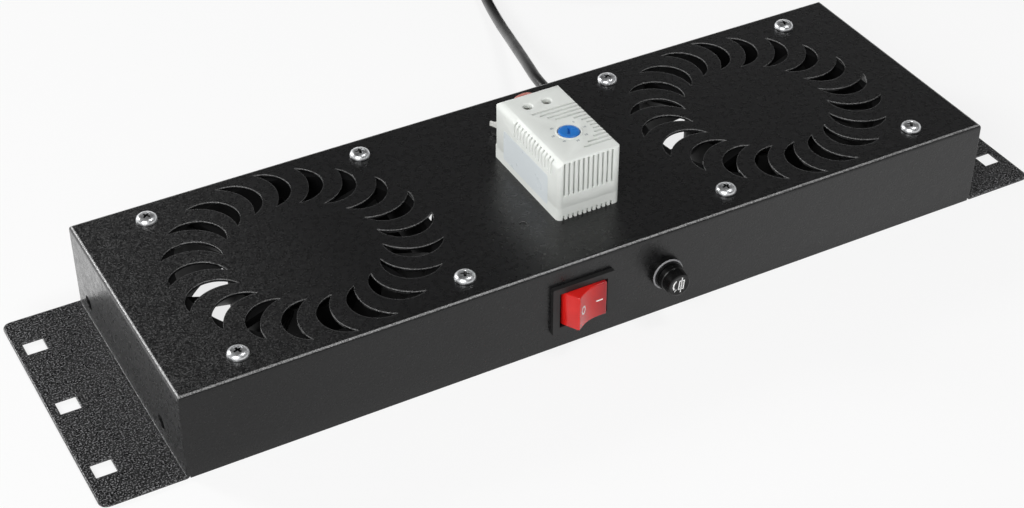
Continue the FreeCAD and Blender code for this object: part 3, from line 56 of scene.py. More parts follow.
def make_camera():
    """Looks at the tray from its front left, as the photographer did."""
    azimuth, elevation, roll = (math.radians(a) for a in (-28.872, 37.66, 0.132))
    target = Vector((-13.43, 2.94, 0.0)) * MM
    distance = 955.86 * MM
    back = Vector((math.sin(azimuth) * math.cos(elevation), -math.cos(azimuth) * math.cos(elevation),
                   math.sin(elevation)))
    data = bpy.data.cameras.new("camera")
    data.lens = 71.2
    data.sensor_width = 36.0
    data.clip_start, data.clip_end = 0.01, 50.0
    camera = bpy.data.objects.new("camera", data)
    bpy.context.scene.collection.objects.link(camera)
    camera.rotation_mode = "QUATERNION"
    rolled = Matrix.Rotation(roll, 3, "Z").to_quaternion()
    camera.rotation_quaternion = (-back).to_track_quat("-Z", "Y") @ rolled
    camera.location = target + back * distance
    bpy.context.scene.camera = camera


make_camera()


# ---------------------------------------------------------------- materials

class Paint:
    """A procedural material: one Principled shader and the node chains that feed it."""

    def __init__(self, name, color, roughness, metallic=0.0, **sockets):
        self.mat = bpy.data.materials.new(name)
        self.mat.use_nodes = True
        self.tree = self.mat.node_tree
        self.shader = self.tree.nodes["Principled BSDF"]
        self.color, self.roughness = color, roughness
        self.shader.inputs["Base Color"].default_value = (*color, 1.0)
        self.shader.inputs["Roughness"].default_value = roughness
        self.shader.inputs["Metallic"].default_value = metallic
        for socket, value in sockets.items():
            self.shader.inputs[socket.replace("_", " ")].default_value = value
        self.place = self.tree.nodes.new("ShaderNodeTexCoord").outputs["Object"]
        self.last_normal = self.last_color = None

    def node(self, kind, **settings):
        node = self.tree.nodes.new(kind)
        for key, value in settings.items():
            if hasattr(node, key):
                setattr(node, key, value)
            else:
                node.inputs[key.replace("_", " ")].default_value = value
        return node

    def link(self, output, node, socket):
        self.tree.links.new(output, node.inputs[socket])

    def stretched(self, scale):
        """The object's own place, with each axis scaled."""
        node = self.node("ShaderNodeMapping")
        node.inputs["Scale"].default_value = scale
        self.link(self.place, node, "Vector")
        return node.outputs["Vector"]

    def noise(self, grain_mm, detail=2.0, rough=0.5, stretch=None):
        """Noise whose spots are about grain_mm across."""
        node = self.node("ShaderNodeTexNoise", Scale=1000.0 / grain_mm, Detail=detail, Roughness=rough)
        self.link(self.stretched(stretch) if stretch else self.place, node, "Vector")
        return node.outputs["Fac"]

    def ramp(self, value, low, high, low_value=0.0, high_value=1.0):
        """Goes from one value to another while the input goes from low to high."""
        node = self.node("ShaderNodeMapRange", From_Min=low, From_Max=high,
                         To_Min=low_value, To_Max=high_value)
        self.link(value, node, "Value")
        return node.outputs["Result"]

    def vary_color(self, value, low, high, other):
        """Goes over to another colour while the input goes from low to high."""
        mix = self.node("ShaderNodeMix", data_type="RGBA")
        a, b = [s for s in mix.inputs if s.type == "RGBA"]
        a.default_value, b.default_value = (*self.color, 1.0), (*other, 1.0)
        if self.last_color:
            self.tree.links.new(self.last_color, a)
        self.tree.links.new(self.ramp(value, low, high, 0.0, 1.0), mix.inputs["Factor"])
        self.last_color = [s for s in mix.outputs if s.type == "RGBA"][0]
        self.link(self.last_color, self.shader, "Base Color")
        return self

    def tint(self, mask, other):
        """Takes another colour where the mask is one."""
        return self.vary_color(mask, 0.0, 1.0, other)

    def times(self, value, other):
        node = self.node("ShaderNodeMath", operation="MULTIPLY")
        self.tree.links.new(value, node.inputs[0])
        self.tree.links.new(other, node.inputs[1])
        return node.outputs[0]

    def axis(self, letter):
        """One coordinate of the object's own place, in metres."""
        node = self.node("ShaderNodeSeparateXYZ")
        self.link(self.place, node, "Vector")
        return node.outputs[letter]

    def absolute(self, value):
        node = self.node("ShaderNodeMath", operation="ABSOLUTE")
        self.tree.links.new(value, node.inputs[0])
        return node.outputs[0]

    def round_edges(self, radius_mm):
        """Shades sharp edges as if they were rounded. It comes before any bump."""
        self.last_normal = self.node("ShaderNodeBevel", samples=6, Radius=radius_mm * MM).outputs["Normal"]

    def vary_roughness(self, value, spread):
        self.link(self.ramp(value, 0.3, 0.7, self.roughness - spread, self.roughness + spread), self.shader,
                  "Roughness")
        return self

    def bump(self, value, height_mm, strength=1.0):
        node = self.node("ShaderNodeBump", Distance=height_mm * MM, Strength=strength)
        self.link(value, node, "Height")
        if self.last_normal:
            self.link(self.last_normal, node, "Normal")
        self.last_normal = node.outputs["Normal"]
        self.link(self.last_normal, self.shader, "Normal")
        return self


def powder_coat():
    """Black coat with a fine orange peel and scattered specks, with painted glints: light sandy specks on
    the ears and at the deck's left end, and a painted highlight along the bends and cut edges just under the
    deck's face."""
    paint = Paint("powder_coat", (0.0052, 0.0052, 0.0055), 0.3)
    deck_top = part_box("housing")[1][2]
    across, height = paint.axis("X"), paint.axis("Z")
    ears = paint.ramp(paint.absolute(across), 0.2035, 0.2055)
    left_end = paint.times(paint.ramp(across, -0.2, -0.1, 1.0, 0.0),
                           paint.ramp(height, deck_top - 0.5 * MM, deck_top - 0.1 * MM))
    edges = paint.times(paint.ramp(height, deck_top - 0.75 * MM, deck_top - 0.5 * MM),
                        paint.ramp(height, deck_top - 0.14 * MM, deck_top - 0.05 * MM, 1.0, 0.0))
    ear_glint_specks = paint.ramp(paint.noise(0.75), 0.52, 0.62)
    end_glint_specks = paint.ramp(paint.noise(0.6), 0.5, 0.62)
    specks = paint.ramp(paint.noise(0.8), 0.66, 0.78)
    glint_breakup = paint.ramp(paint.noise(0.6), 0.4, 0.6, 0.3, 1.0)
    # Painted glints: lighter specks along the deck's left end.
    paint.tint(paint.times(end_glint_specks, left_end), (0.085, 0.085, 0.085))
    # Painted glints: light grey specks on the ears.
    paint.tint(paint.times(ear_glint_specks, ears), (0.23, 0.23, 0.235))
    paint.tint(specks, (0.03, 0.03, 0.03))
    # Painted highlight: a light, broken line along the bends and cut edges just under the deck's face.
    paint.tint(paint.times(edges, glint_breakup), (0.3, 0.3, 0.3))
    paint.round_edges(0.6)
    paint.bump(paint.noise(1.1, 3.0, 0.55), 0.13).bump(paint.noise(7.0, 1.0), 0.15, 0.5)
    return paint.vary_roughness(paint.noise(2.6), 0.07).mat


def moulded(name, color, roughness, grain=0.35, height=0.02, other=None, **sockets):
    """Plastic from a mould: a fine spark-eroded grain and a slight unevenness of gloss and tone."""
    paint = Paint(name, color, roughness, **sockets)
    other = other or tuple(c * 0.88 for c in color)
    return paint.bump(paint.noise(grain, 2.0), height, 0.6).vary_roughness(
        paint.noise(9.0), 0.05).vary_color(paint.noise(14.0, 3.0), 0.35, 0.7, other).mat


def plated(name, color, roughness, other, grain=0.8, stretch=None, **sockets):
    """Plated or bare metal with fine tool marks and cloudy patches."""
    paint = Paint(name, color, roughness, 1.0, **sockets)
    return paint.bump(paint.noise(grain, 4.0, 0.6, stretch), 0.012, 0.5).vary_roughness(
        paint.noise(3.0, 3.0), 0.09).vary_color(paint.noise(2.2, 4.0), 0.4, 0.75, other).mat


def clear_red():
    """See-through red plastic, with painted shade: darker toward the end that is pressed in."""
    paint = Paint("rocker_plastic", (0.85, 0.02, 0.016), 0.16, Transmission_Weight=0.2)
    paint.vary_color(paint.noise(14.0, 3.0), 0.35, 0.7, (0.72, 0.012, 0.01))
    # Painted shade: darker toward the end that is pressed in.
    paint.tint(paint.ramp(paint.axis("X"), 1.0 * MM, 9.0 * MM), (0.36, 0.012, 0.018))
    return paint.bump(paint.noise(0.5, 2.0), 0.004, 0.6).vary_roughness(paint.noise(9.0), 0.05).mat


def screw_plating_recess_shade():
    """Zinc plate with painted shade: dark inside the cross recess."""
    paint = Paint("screw_plating_recess_shade", (0.84, 0.85, 0.86), 0.36, 1.0)
    paint.vary_color(paint.noise(2.2, 4.0), 0.4, 0.75, (0.66, 0.67, 0.69))
    across, along = (paint.ramp(paint.absolute(paint.axis(axis)), 2.6 * MM, 2.8 * MM, 1.0, 0.0)
                     for axis in "XY")
    height = paint.axis("Z")
    depth = paint.times(paint.ramp(height, 2.5 * MM, 2.9 * MM, 1.0, 0.0),
                        paint.ramp(height, 0.3 * MM, 0.6 * MM))
    # Painted shade: the cross recess darkened.
    paint.tint(paint.times(paint.times(across, along), depth), (0.02, 0.02, 0.02))
    paint.bump(paint.noise(0.8, 4.0, 0.6), 0.012, 0.5)
    return paint.vary_roughness(paint.noise(3.0, 3.0), 0.09).mat


MATERIALS = {
    "powder_coat": powder_coat(),
    "fan_metal": moulded("fan_metal", (0.005, 0.005, 0.0052), 0.6, 0.6, 0.05, Specular_IOR_Level=0.08),
    "impeller_plastic": moulded("impeller_plastic", (0.006, 0.006, 0.006), 0.5, Specular_IOR_Level=0.25),
    "bare_steel": plated("bare_steel", (0.5, 0.5, 0.51), 0.32, (0.4, 0.4, 0.41)),
    "motor_winding": plated("motor_winding", (0.42, 0.2, 0.1), 0.38, (0.25, 0.11, 0.05)),
    "zinc_steel": plated("zinc_steel", (0.82, 0.83, 0.84), 0.38, (0.62, 0.63, 0.65)),
    "thermostat_plastic": moulded("thermostat_plastic", (0.81, 0.835, 0.8), 0.48, 0.5, 0.02,
                                  (0.76, 0.785, 0.75)),
    "dial_plastic": moulded("dial_plastic", (0.02, 0.19, 0.62), 0.3, 0.4, 0.01),
    "inner_plastic": moulded("inner_plastic", (0.5, 0.5, 0.48), 0.5),
    "brass": plated("brass", (0.75, 0.55, 0.25), 0.28, (0.6, 0.42, 0.18)),
    "switch_plastic": moulded("switch_plastic", (0.012, 0.012, 0.012), 0.5, 0.3, 0.03),
    "rocker_plastic": clear_red(),
    "holder_plastic": moulded("holder_plastic", (0.005, 0.005, 0.005), 0.27, 0.5, 0.01,
                              Specular_IOR_Level=0.32),
    "fuse_glass": moulded("fuse_glass", (0.95, 0.97, 0.97), 0.05, 2.0, 0.004, Transmission_Weight=0.95),
    "nickel": plated("nickel", (0.72, 0.69, 0.62), 0.22, (0.6, 0.57, 0.5)),
    "cord_rubber": moulded("cord_rubber", (0.0085, 0.0085, 0.0085), 0.33, 0.4, 0.015),
    "tie_plastic": moulded("tie_plastic", (0.015, 0.015, 0.015), 0.4, 0.5, 0.01),
    "white_tie": moulded("white_tie", (0.72, 0.72, 0.69), 0.4, 0.5, 0.01),
    "block_plastic": moulded("block_plastic", (0.72, 0.72, 0.66), 0.4, 0.5, 0.01),
    "wire_brown": moulded("wire_brown", (0.16, 0.06, 0.03), 0.38, 0.6, 0.01),
    "wire_blue": moulded("wire_blue", (0.03, 0.1, 0.42), 0.38, 0.6, 0.01),
    "wire_green": moulded("wire_green", (0.18, 0.42, 0.05), 0.38, 0.6, 0.01),
    "wire_red": moulded("wire_red", (0.55, 0.2, 0.17), 0.38, 0.6, 0.01),
    "wire_black": moulded("wire_black", (0.014, 0.014, 0.014), 0.38, 0.6, 0.01),
}
WHITE_PRINT = moulded("white_print", (0.95, 0.95, 0.94), 0.5, 0.6, 0.005, (0.88, 0.88, 0.87))
GREY_PRINT = moulded("grey_print", (0.16, 0.19, 0.22), 0.5, 0.6, 0.005, (0.24, 0.27, 0.3))
LABEL = moulded("blank_label", (0.72, 0.77, 0.79), 0.3, 0.8, 0.003, (0.7, 0.75, 0.77))
SCREW_PLATING_RECESS_SHADE = screw_plating_recess_shade()
# Light grey: a painted highlight on the fuse holder's flange rim.
TRIM_PAINTED_HIGHLIGHT = moulded("trim_ring_painted_highlight", (0.3, 0.3, 0.31), 0.35, 0.4, 0.01)

# Every CAD node gets the material of its slot.
for part in frame["record"]["subparts"]:
    mesh = NODES[part["node"]].data
    mesh.materials.clear()
    mesh.materials.append(MATERIALS[part["material_slot"]])


# ---------------------------------------------------------------- the mains lead

LEAD = 5.8
COIL_X, COIL_Y = 134.9, 244.5
COIL_ENTRY, COIL_LEAVE = 164.3, 40.0
INNER_ROW, MIDDLE_ROW, OUTER_ROW = 28.2, 34.0, 39.8
LAYERS = (3.8, 9.6, 15.4)
PLUG_HEIGHT = 18.5


def coil_point(angle, radius, height, along=0.0):
    """A point on the coil's tangent at an angle in degrees, so far along from where it touches."""
    turn = math.radians(angle)
    return (COIL_X + radius * math.cos(turn) + along * math.sin(turn),
            COIL_Y + radius * math.sin(turn) - along * math.cos(turn), height)


def make_lead():
    """One smooth line: out of the strain relief, down to the floor, round the coil and into the plug."""
    low, middle, high = LAYERS
    points = [(54, 86, 22), (54, 98, 22), (59.0, 117.5, 19.2), (64.8, 138.5, 15.0), (70.6, 159.0, 10.4),
              (76.8, 182.5, 6.0)]
    points += [coil_point(COIL_ENTRY, OUTER_ROW, low, along) for along in (-48, -24, -8)]
    lanes = [(OUTER_ROW, low), (MIDDLE_ROW, low), (INNER_ROW, low), (INNER_ROW, middle), (INNER_ROW, high),
             (MIDDLE_ROW, high), (MIDDLE_ROW, middle), (OUTER_ROW, middle), (OUTER_ROW, high)]
    # Each turn goes over to the next lane from this share of the turn on, over the length of a shift.
    starts = (0.84, 0.84, 0.73, 0.73, 0.62, 0.51, 0.43, 0.36)
    per_turn, shift = 24, 0.11
    # The curve runs inside its points by this much.
    swell = 1 / math.cos(math.pi / per_turn)
    last = len(starts) + (COIL_ENTRY - COIL_LEAVE) / 360
    steps = round(last * per_turn)
    for step in range(steps + 1):
        turns = step / steps * last
        lane = min(int(turns), len(starts))
        radius, height = lanes[lane]
        if lane < len(starts):
            over = max(0.0, min(1.0, (turns - lane - starts[lane]) / shift))
            over = over * over * (3 - 2 * over)
            radius += (lanes[lane + 1][0] - radius) * over
            height += (lanes[lane + 1][1] - height) * over
        points.append(coil_point(COIL_ENTRY - 360 * turns, radius * swell, height))
    points += [coil_point(COIL_LEAVE, OUTER_ROW, PLUG_HEIGHT, along) for along in (12, 27, 42)]

    curve = bpy.data.curves.new("mains_lead", "CURVE")
    curve.dimensions = "3D"
    curve.resolution_u = 6
    curve.bevel_depth = LEAD / 2 * MM
    curve.bevel_resolution = 5
    curve.use_fill_caps = True
    spline = curve.splines.new("NURBS")
    spline.points.add(len(points) - 1)
    for point, place in zip(spline.points, points):
        point.co = (*(c * MM for c in place), 1.0)
    spline.order_u = 3
    spline.use_endpoint_u = True
    curve.materials.append(MATERIALS["cord_rubber"])
    lead = bpy.data.objects.new("mains_lead", curve)
    bpy.context.scene.collection.objects.link(lead)
    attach(lead, "tray")
    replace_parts(lead, "cord_lead", "cord_coil", "cord_tail")


make_lead()


# ---------------------------------------------------------------- shapes

def lathe(profile, count, squash=None):
    """Rings of points round the Z axis for (radius, height) pairs. A first or last radius of zero closes
    the form to a point. squash(turn, radius, height) may give each point another radius."""
    verts, faces, rings = [], [], []
    for radius, height in profile:
        start = len(verts)
        if radius == 0:
            verts.append((0.0, 0.0, height))
            rings.append([start] * count)
            continue
        for step in range(count):
            turn = 2 * math.pi * step / count
            wide = squash(turn, radius, height) if squash else radius
            verts.append((wide * math.cos(turn), wide * math.sin(turn), height))
        rings.append(list(range(start, start + count)))
    for lower, upper in zip(rings, rings[1:]):
        for step in range(count):
            after = (step + 1) % count
            corners = [lower[step], lower[after], upper[after], upper[step]]
            face = [c for index, c in enumerate(corners) if c not in corners[:index]]
            if len(face) > 2:
                faces.append(face)
    return verts, faces


def prism(outlines):
    """A closed form through outlines of equal counts, each a list of (x, y, z)."""
    count = len(outlines[0])
    verts = [point for outline in outlines for point in outline]
    faces = [list(range(count))[::-1], list(range(len(verts) - count, len(verts)))]
    for level in range(len(outlines) - 1):
        for step in range(count):
            after = (step + 1) % count
            faces.append([level * count + step, level * count + after, (level + 1) * count + after,
                          (level + 1) * count + step])
    return verts, faces


def new_mesh(name, form):
    """A mesh from (vertices in mm, faces), with its normals facing out."""
    verts, faces = form
    mesh = bpy.data.meshes.new(name)
    mesh.from_pydata([tuple(c * MM for c in point) for point in verts], [], faces)
    bm = bmesh.new()
    bm.from_mesh(mesh)
    bmesh.ops.recalc_face_normals(bm, faces=bm.faces)
    bm.to_mesh(mesh)
    bm.free()
    return mesh


def worked(mesh, *steps):
    """The mesh after some modifiers, each a (kind, settings) pair."""
    thing = bpy.data.objects.new("blank", mesh)
    bpy.context.scene.collection.objects.link(thing)
    helpers = []
    for kind, settings in steps:
        modifier = thing.modifiers.new(kind, kind)
        for key, value in settings.items():
            if isinstance(value, bpy.types.Mesh):
                value = bpy.data.objects.new("cutter", value)
                bpy.context.scene.collection.objects.link(value)
                helpers.append(value)
            setattr(modifier, key, value)
    seen = thing.evaluated_get(bpy.context.evaluated_depsgraph_get())
    result = bpy.data.meshes.new_from_object(seen)
    for used in [thing, *helpers]:
        bpy.data.objects.remove(used)
    return result


def cut_away(mesh, cutter):
    return worked(mesh, ("BOOLEAN", {"operation": "DIFFERENCE", "solver": "EXACT", "object": cutter}))


def softened(mesh, width_mm, segments=3, angle=35):
    return worked(mesh, ("BEVEL", {"width": width_mm * MM, "segments": segments, "limit_method": "ANGLE",
                                   "angle_limit": math.radians(angle)}))


def add_piece(name, mesh, slot, body, matrix=None, material=None, smooth=40):
    """Puts a mesh in the scene as a piece that rides on a body."""
    mesh.polygons.foreach_set("use_smooth", [True] * len(mesh.polygons))
    mesh.set_sharp_from_angle(angle=math.radians(smooth))
    mesh.materials.clear()
    mesh.materials.append(material or MATERIALS[slot])
    piece = bpy.data.objects.new(name, mesh)
    if matrix:
        piece.matrix_world = matrix
    bpy.context.scene.collection.objects.link(piece)
    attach(piece, body)
    return piece


def joined(meshes):
    """One mesh from (mesh, matrix) pairs."""
    bm = bmesh.new()
    for mesh, matrix in meshes:
        copy = mesh.copy()
        copy.transform(matrix)
        bm.from_mesh(copy)
    result = bpy.data.meshes.new("joined")
    bm.to_mesh(result)
    bm.free()
    return result


def at(x, y, z, turn=0.0, axis="Z"):
    """A place in mm, turned by degrees about an axis."""
    return Matrix.Translation(Vector((x, y, z)) * MM) @ Matrix.Rotation(math.radians(turn), 4, axis)


# What is modelled upright, along Z, then faces out of the front.
FACING_OUT = Matrix.Rotation(math.radians(90), 4, "X")
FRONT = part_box("housing")[0][1] / MM
DECK_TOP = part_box("housing")[1][2] / MM


# ---------------------------------------------------------------- fan screws

FANS_X = (-119.5, 119.5)
SCREWS_ASIDE = (-52.5, 52.5)


def make_screws():
    """Pan-head screws with a cross recess, and rolled threads that come through the nuts."""
    head = new_mesh("head", lathe([
        (0, 3.15), (1.5, 3.12), (2.7, 2.98), (3.6, 2.66), (4.3, 2.1), (4.72, 1.4), (4.88, 0.7),
        (4.85, 0.25), (4.6, 0.02), (2.1, 0.02), (2.1, -0.6), (0, -0.6)], 48))
    cross = []
    for height, reach, half in ((1.0, 0.5, 0.2), (1.5, 1.2, 0.42), (3.0, 2.2, 0.66), (4.0, 2.5, 0.8)):
        corners = [(half, half), (half, reach), (-half, reach), (-half, half), (-reach, half),
                   (-reach, -half), (-half, -half), (-half, -reach), (half, -reach), (half, -half),
                   (reach, -half), (reach, half)]
        cross.append([(x, y, height) for x, y in corners])
    head = softened(cut_away(head, new_mesh("cross", prism(cross))), 0.09, 2, 40)
    crest, root, pitch, length = 2.1, 1.75, 0.7, 12.0
    profile = [(0, 0)]
    for turn in range(17):
        low = -0.3 - pitch * turn
        profile += [(crest, low), (root, low - 0.3), (root, low - 0.4)]
    profile += [(1.5, 0.05 - length), (0, -length)]
    shank = new_mesh("thread", lathe(profile, 24))
    whole = joined([(head, Matrix()), (shank, Matrix())])
    # Each screw stopped at a turn of its own.
    pieces = []
    for index, turn in enumerate((18, 64, 35, 80, 8, 52, 28, 71)):
        x = FANS_X[index // 4] + SCREWS_ASIDE[index % 2]
        y = SCREWS_ASIDE[index // 2 % 2]
        place = at(x, y, DECK_TOP, turn)
        name = f"fan_screw_{index + 1}"
        pieces.append(add_piece(name, whole, "zinc_steel", "tray", place, SCREW_PLATING_RECESS_SHADE))
    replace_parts(pieces[0], "fan_bolts")


make_screws()


# ---------------------------------------------------------------- thermostat cover

DIAL_X, DIAL_Y = 5.0, -16.0
COVER_X = 4.1
COVER_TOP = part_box("thermostat_cover")[1][2] / MM
VENT, ROW_PITCH, FIRST_ROW = 1.05, 2.76, 3.6
OUT = 1


def rounded_outline(corners):
    """Points of an outline through (x, y, radius) corners, with each corner turned by an arc."""
    result = []
    count = len(corners)
    for index, (x, y, radius) in enumerate(corners):
        if not radius:
            result.append((x, y))
            continue
        here = Vector((x, y))
        before = (Vector(corners[index - 1][:2]) - here).normalized()
        after = (Vector(corners[(index + 1) % count][:2]) - here).normalized()
        half = before.angle(after) / 2
        middle = here + (before + after).normalized() * (radius / math.sin(half))
        reach = radius / math.tan(half)
        start, end = here + before * reach - middle, here + after * reach - middle
        sweep = start.angle_signed(end)
        for step in range(9):
            turned = Matrix.Rotation(-sweep * step / 8, 2) @ start
            result.append(tuple(middle + turned))
    return result


def bar(x0, x1, y0, y1, z0, z1):
    """A straight cutter with its sides at these places."""
    return new_mesh("bar", prism([[(x0, y0, z), (x1, y0, z), (x1, y1, z), (x0, y1, z)] for z in (z0, z1)]))


def cover_block(low, high):
    """The outside: rounded in plan, from the side and from the front, and bevelled along its left vents. The
    bevel runs out at a shoulder behind them."""
    plan = rounded_outline([(low[0], low[1], 2.2), (high[0], low[1], 2.2), (high[0], high[1], 2.4),
                            (low[0], high[1], 3.4)])
    side = rounded_outline([(low[1], low[2], 0), (high[1], low[2], 0), (high[1], high[2], 6.0),
                            (low[1], high[2], 1.3)])
    front = rounded_outline([(low[0], low[2], 0), (high[0], low[2], 0), (high[0], high[2], 1.1),
                             (low[0], high[2], 4.6)])
    block = new_mesh("block", prism([[(x, y, z) for x, y in plan] for z in (low[2], high[2])]))
    for outlines in ([[(x, y, z) for y, z in side] for x in (low[0] - OUT, high[0] + OUT)],
                     [[(x, y, z) for x, z in front] for y in (low[1] - OUT, high[1] + OUT)]):
        block = worked(block, ("BOOLEAN", {"operation": "INTERSECT", "solver": "EXACT",
                                           "object": new_mesh("profile", prism(outlines))}))
    shoulder, run_out, drop, width = 6.4, 2.0, 4.1, 3.1
    wedge = []
    for y in (low[1] - OUT, shoulder - run_out, shoulder - 0.9, shoulder - 0.25, shoulder):
        rise = 0.0 if y < shoulder - 1.9 else 2.4 * ((y - shoulder + run_out) / run_out) ** 2
        wedge.append([(low[0] - OUT, y, high[2] - drop + rise), (low[0] + width - rise, y, high[2]),
                      (low[0] + width - rise, y, high[2] + OUT), (low[0] - OUT, y, high[2] + OUT)])
    return cut_away(block, new_mesh("wedge", prism(wedge)))


def groove_start(row, y):
    """Where a groove of the top begins: on a slant at first, then clear of the dial."""
    start = -3.1 if row == 0 else max(-3.1, -1.7 + (2.22 - y) * 0.903) if row < 4 else DIAL_X
    clear = 11.3
    if abs(y - DIAL_Y) < clear:
        start = DIAL_X + math.sqrt(clear ** 2 - (y - DIAL_Y) ** 2)
    return start


def cover_cuts(low, high):
    """Cutters for the grooves, the vents of three sides, the terminal openings and the hollow inside."""
    half, vent_deep, side_foot, front_foot = VENT / 2, 2.6, 66.0, 56.8
    cuts = []
    for row in range(13):
        y = FIRST_ROW - ROW_PITCH * row
        start = groove_start(row, y)
        cuts.append(bar(start, high[0] + OUT, y - 0.65, y + 0.65, high[2] - 2.7, high[2] + OUT))
        cuts.append(bar(high[0] - vent_deep, high[0] + OUT, y - half, y + half, side_foot, high[2] - 3.2))
        stepped = ((-OUT, side_foot), (vent_deep, side_foot), (vent_deep, high[2] - 3.4),
                   (1.7, high[2] - 1.6), (-OUT, high[2] - 1.6))
        cuts.append(new_mesh("vent", prism([[(low[0] + x, y + aside, z) for x, z in stepped]
                                            for aside in (half, -half)])))
    for step in range(11):
        x = COVER_X - 0.53 + 2.45 * (step - 5)
        cuts.append(bar(x - half, x + half, low[1] - OUT, low[1] + vent_deep, front_foot, high[2] - 0.8))
    for x in (2.4, 11.0):
        cuts.append(bar(x - 4.3, x + 4.3, high[1] - 4.3, high[1] + OUT, 58.5, 63.5))
    wall, rear_wall, roof = 2.2, 3.6, 2.4
    cuts.append(bar(low[0] + wall, high[0] - wall, low[1] + wall, high[1] - rear_wall,
                    low[2] - OUT, high[2] - roof))
    return cuts


def make_cover():
    """The moulded cover: vents, grooves, and round holes over the dial and the two clamps."""
    low, high = (tuple(c / MM for c in corner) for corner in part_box("thermostat_cover"))
    block = cover_block(low, high)
    for cut in cover_cuts(low, high):
        block = cut_away(block, cut)
    for x, y, radius, rim in ((DIAL_X, DIAL_Y, 5.3, 5.5), (-1.2, 10.6, 2.2, 2.75), (8.6, 10.6, 2.2, 2.75)):
        profile = [(0, -4), (radius, -4), (radius, -0.5), (rim, 0.05), (rim, 1), (0, 1)]
        hole = new_mesh("hole", lathe(profile, 40))
        hole.transform(at(x, y, high[2]))
        block = cut_away(block, hole)
    cover = softened(block, 0.16, 2, 40)
    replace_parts(add_piece("cover", cover, "thermostat_plastic", "tray", smooth=30), "thermostat_cover")


make_cover()


# ---------------------------------------------------------------- thermostat dial and marks

def words(name, text, size, matrix, material, body, slot):
    """Small print as a thin solid."""
    curve = bpy.data.curves.new(name, "FONT")
    curve.body = text
    curve.size = size * MM
    curve.extrude = 0.02 * MM
    curve.align_x = curve.align_y = "CENTER"
    source = bpy.data.objects.new(name + "_source", curve)
    bpy.context.scene.collection.objects.link(source)
    mesh = bpy.data.meshes.new_from_object(source.evaluated_get(bpy.context.evaluated_depsgraph_get()))
    bpy.data.objects.remove(source)
    return add_piece(name, mesh, slot, body, matrix, material)


def make_dial():
    """The blue knob with its slot and post, the lip round it, and numbers from 0 to 60."""
    disc = new_mesh("disc", lathe([(0, 0.5), (3.9, 0.5), (4.5, 0.42), (4.85, 0.2), (5.0, -0.2), (5.0, -2.5),
                                   (2.5, -2.5), (2.5, -20.0), (0, -20.0)], 64))
    slot = bar(-0.6, 0.6, -2.7, 2.7, -0.9, 1.5)
    dial = softened(cut_away(disc, slot), 0.08, 2, 50)
    place = at(DIAL_X, DIAL_Y, COVER_TOP, -30)
    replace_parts(add_piece("dial_knob", dial, "dial_plastic", "dial", place), "thermostat_dial")
    ring = new_mesh("ring", lathe([(5.35, -0.05), (5.35, 0.22), (5.55, 0.32), (5.95, 0.32), (6.15, 0.22),
                                   (6.2, -0.05)], 64))
    add_piece("dial_lip", ring, "thermostat_plastic", "tray", at(DIAL_X, DIAL_Y, COVER_TOP))
    radius = 8.0
    for index in range(7):
        turn = math.radians(45 * index - 225)
        place = at(DIAL_X - radius * math.cos(turn), DIAL_Y + radius * math.sin(turn), COVER_TOP + 0.02)
        words(f"dial_number_{index}", str(index * 10), 1.7, place, GREY_PRINT, "tray", "thermostat_plastic")


make_dial()


# ---------------------------------------------------------------- rocker

CONTROLS_Z = 22.0


def rocker_face(along):
    """Depth and slope of the hollow face, so far along the rocker."""
    half, depth, hollow = 8.7, -9.3, 1.9
    share = (along + half) / (2 * half)
    slope = math.atan(hollow * math.pi / (2 * half) * math.cos(math.pi * share))
    return depth + hollow * math.sin(math.pi * share), slope


def make_rocker():
    """The see-through red rocker with its hollow face, its hidden pivot and its two marks."""
    outline = [(-8.7, -9.3)]
    for step in range(1, 16):
        along = -8.7 + 17.4 * step / 16
        outline.append((along, rocker_face(along)[0]))
    outline += [(8.7, -9.3), (10.8, -1.2), (10.8, 0.6), (-10.8, 0.6), (-10.8, -1.2)]
    half = 9.05
    shell = new_mesh("rocker", prism([[(x, y, z) for x, y in outline] for z in (-half, half)]))
    pin = new_mesh("pin", lathe([(0, -10.4), (1.5, -10.4), (1.5, 10.4), (0, 10.4)], 24))
    whole = joined([(softened(shell, 0.5, 3, 20), Matrix()), (pin, Matrix())])
    place = at(-16.5, -63.3, CONTROLS_Z, 16)
    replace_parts(add_piece("rocker", whole, "rocker_plastic", "rocker", place), "switch_rocker")

    ring = new_mesh("mark_o", lathe([(1.1, 0), (1.1, 0.04), (1.6, 0.04), (1.6, 0), (1.1, 0)], 32))
    for vert in ring.vertices:
        vert.co.y *= 1.45
    stroke = bar(-1.8, 1.8, -0.32, 0.32, 0, 0.04)
    for name, mesh, along in (("rocker_mark_off", ring, -5.0), ("rocker_mark_on", stroke, 5.0)):
        depth, slope = rocker_face(along)
        spot = place @ at(along, depth - 0.015, 0) @ Matrix.Rotation(slope, 4, "Z") @ FACING_OUT
        add_piece(name, mesh, "rocker_plastic", "rocker", spot, WHITE_PRINT)


make_rocker()


# ---------------------------------------------------------------- fuse cap

FUSE_X = 27.2


def flat_stroke(corners, high=0.04):
    """A line of print: a flat outline with hardly any height."""
    return new_mesh("stroke", prism([[(x, y, z) for x, y in corners] for z in (0, high)]))


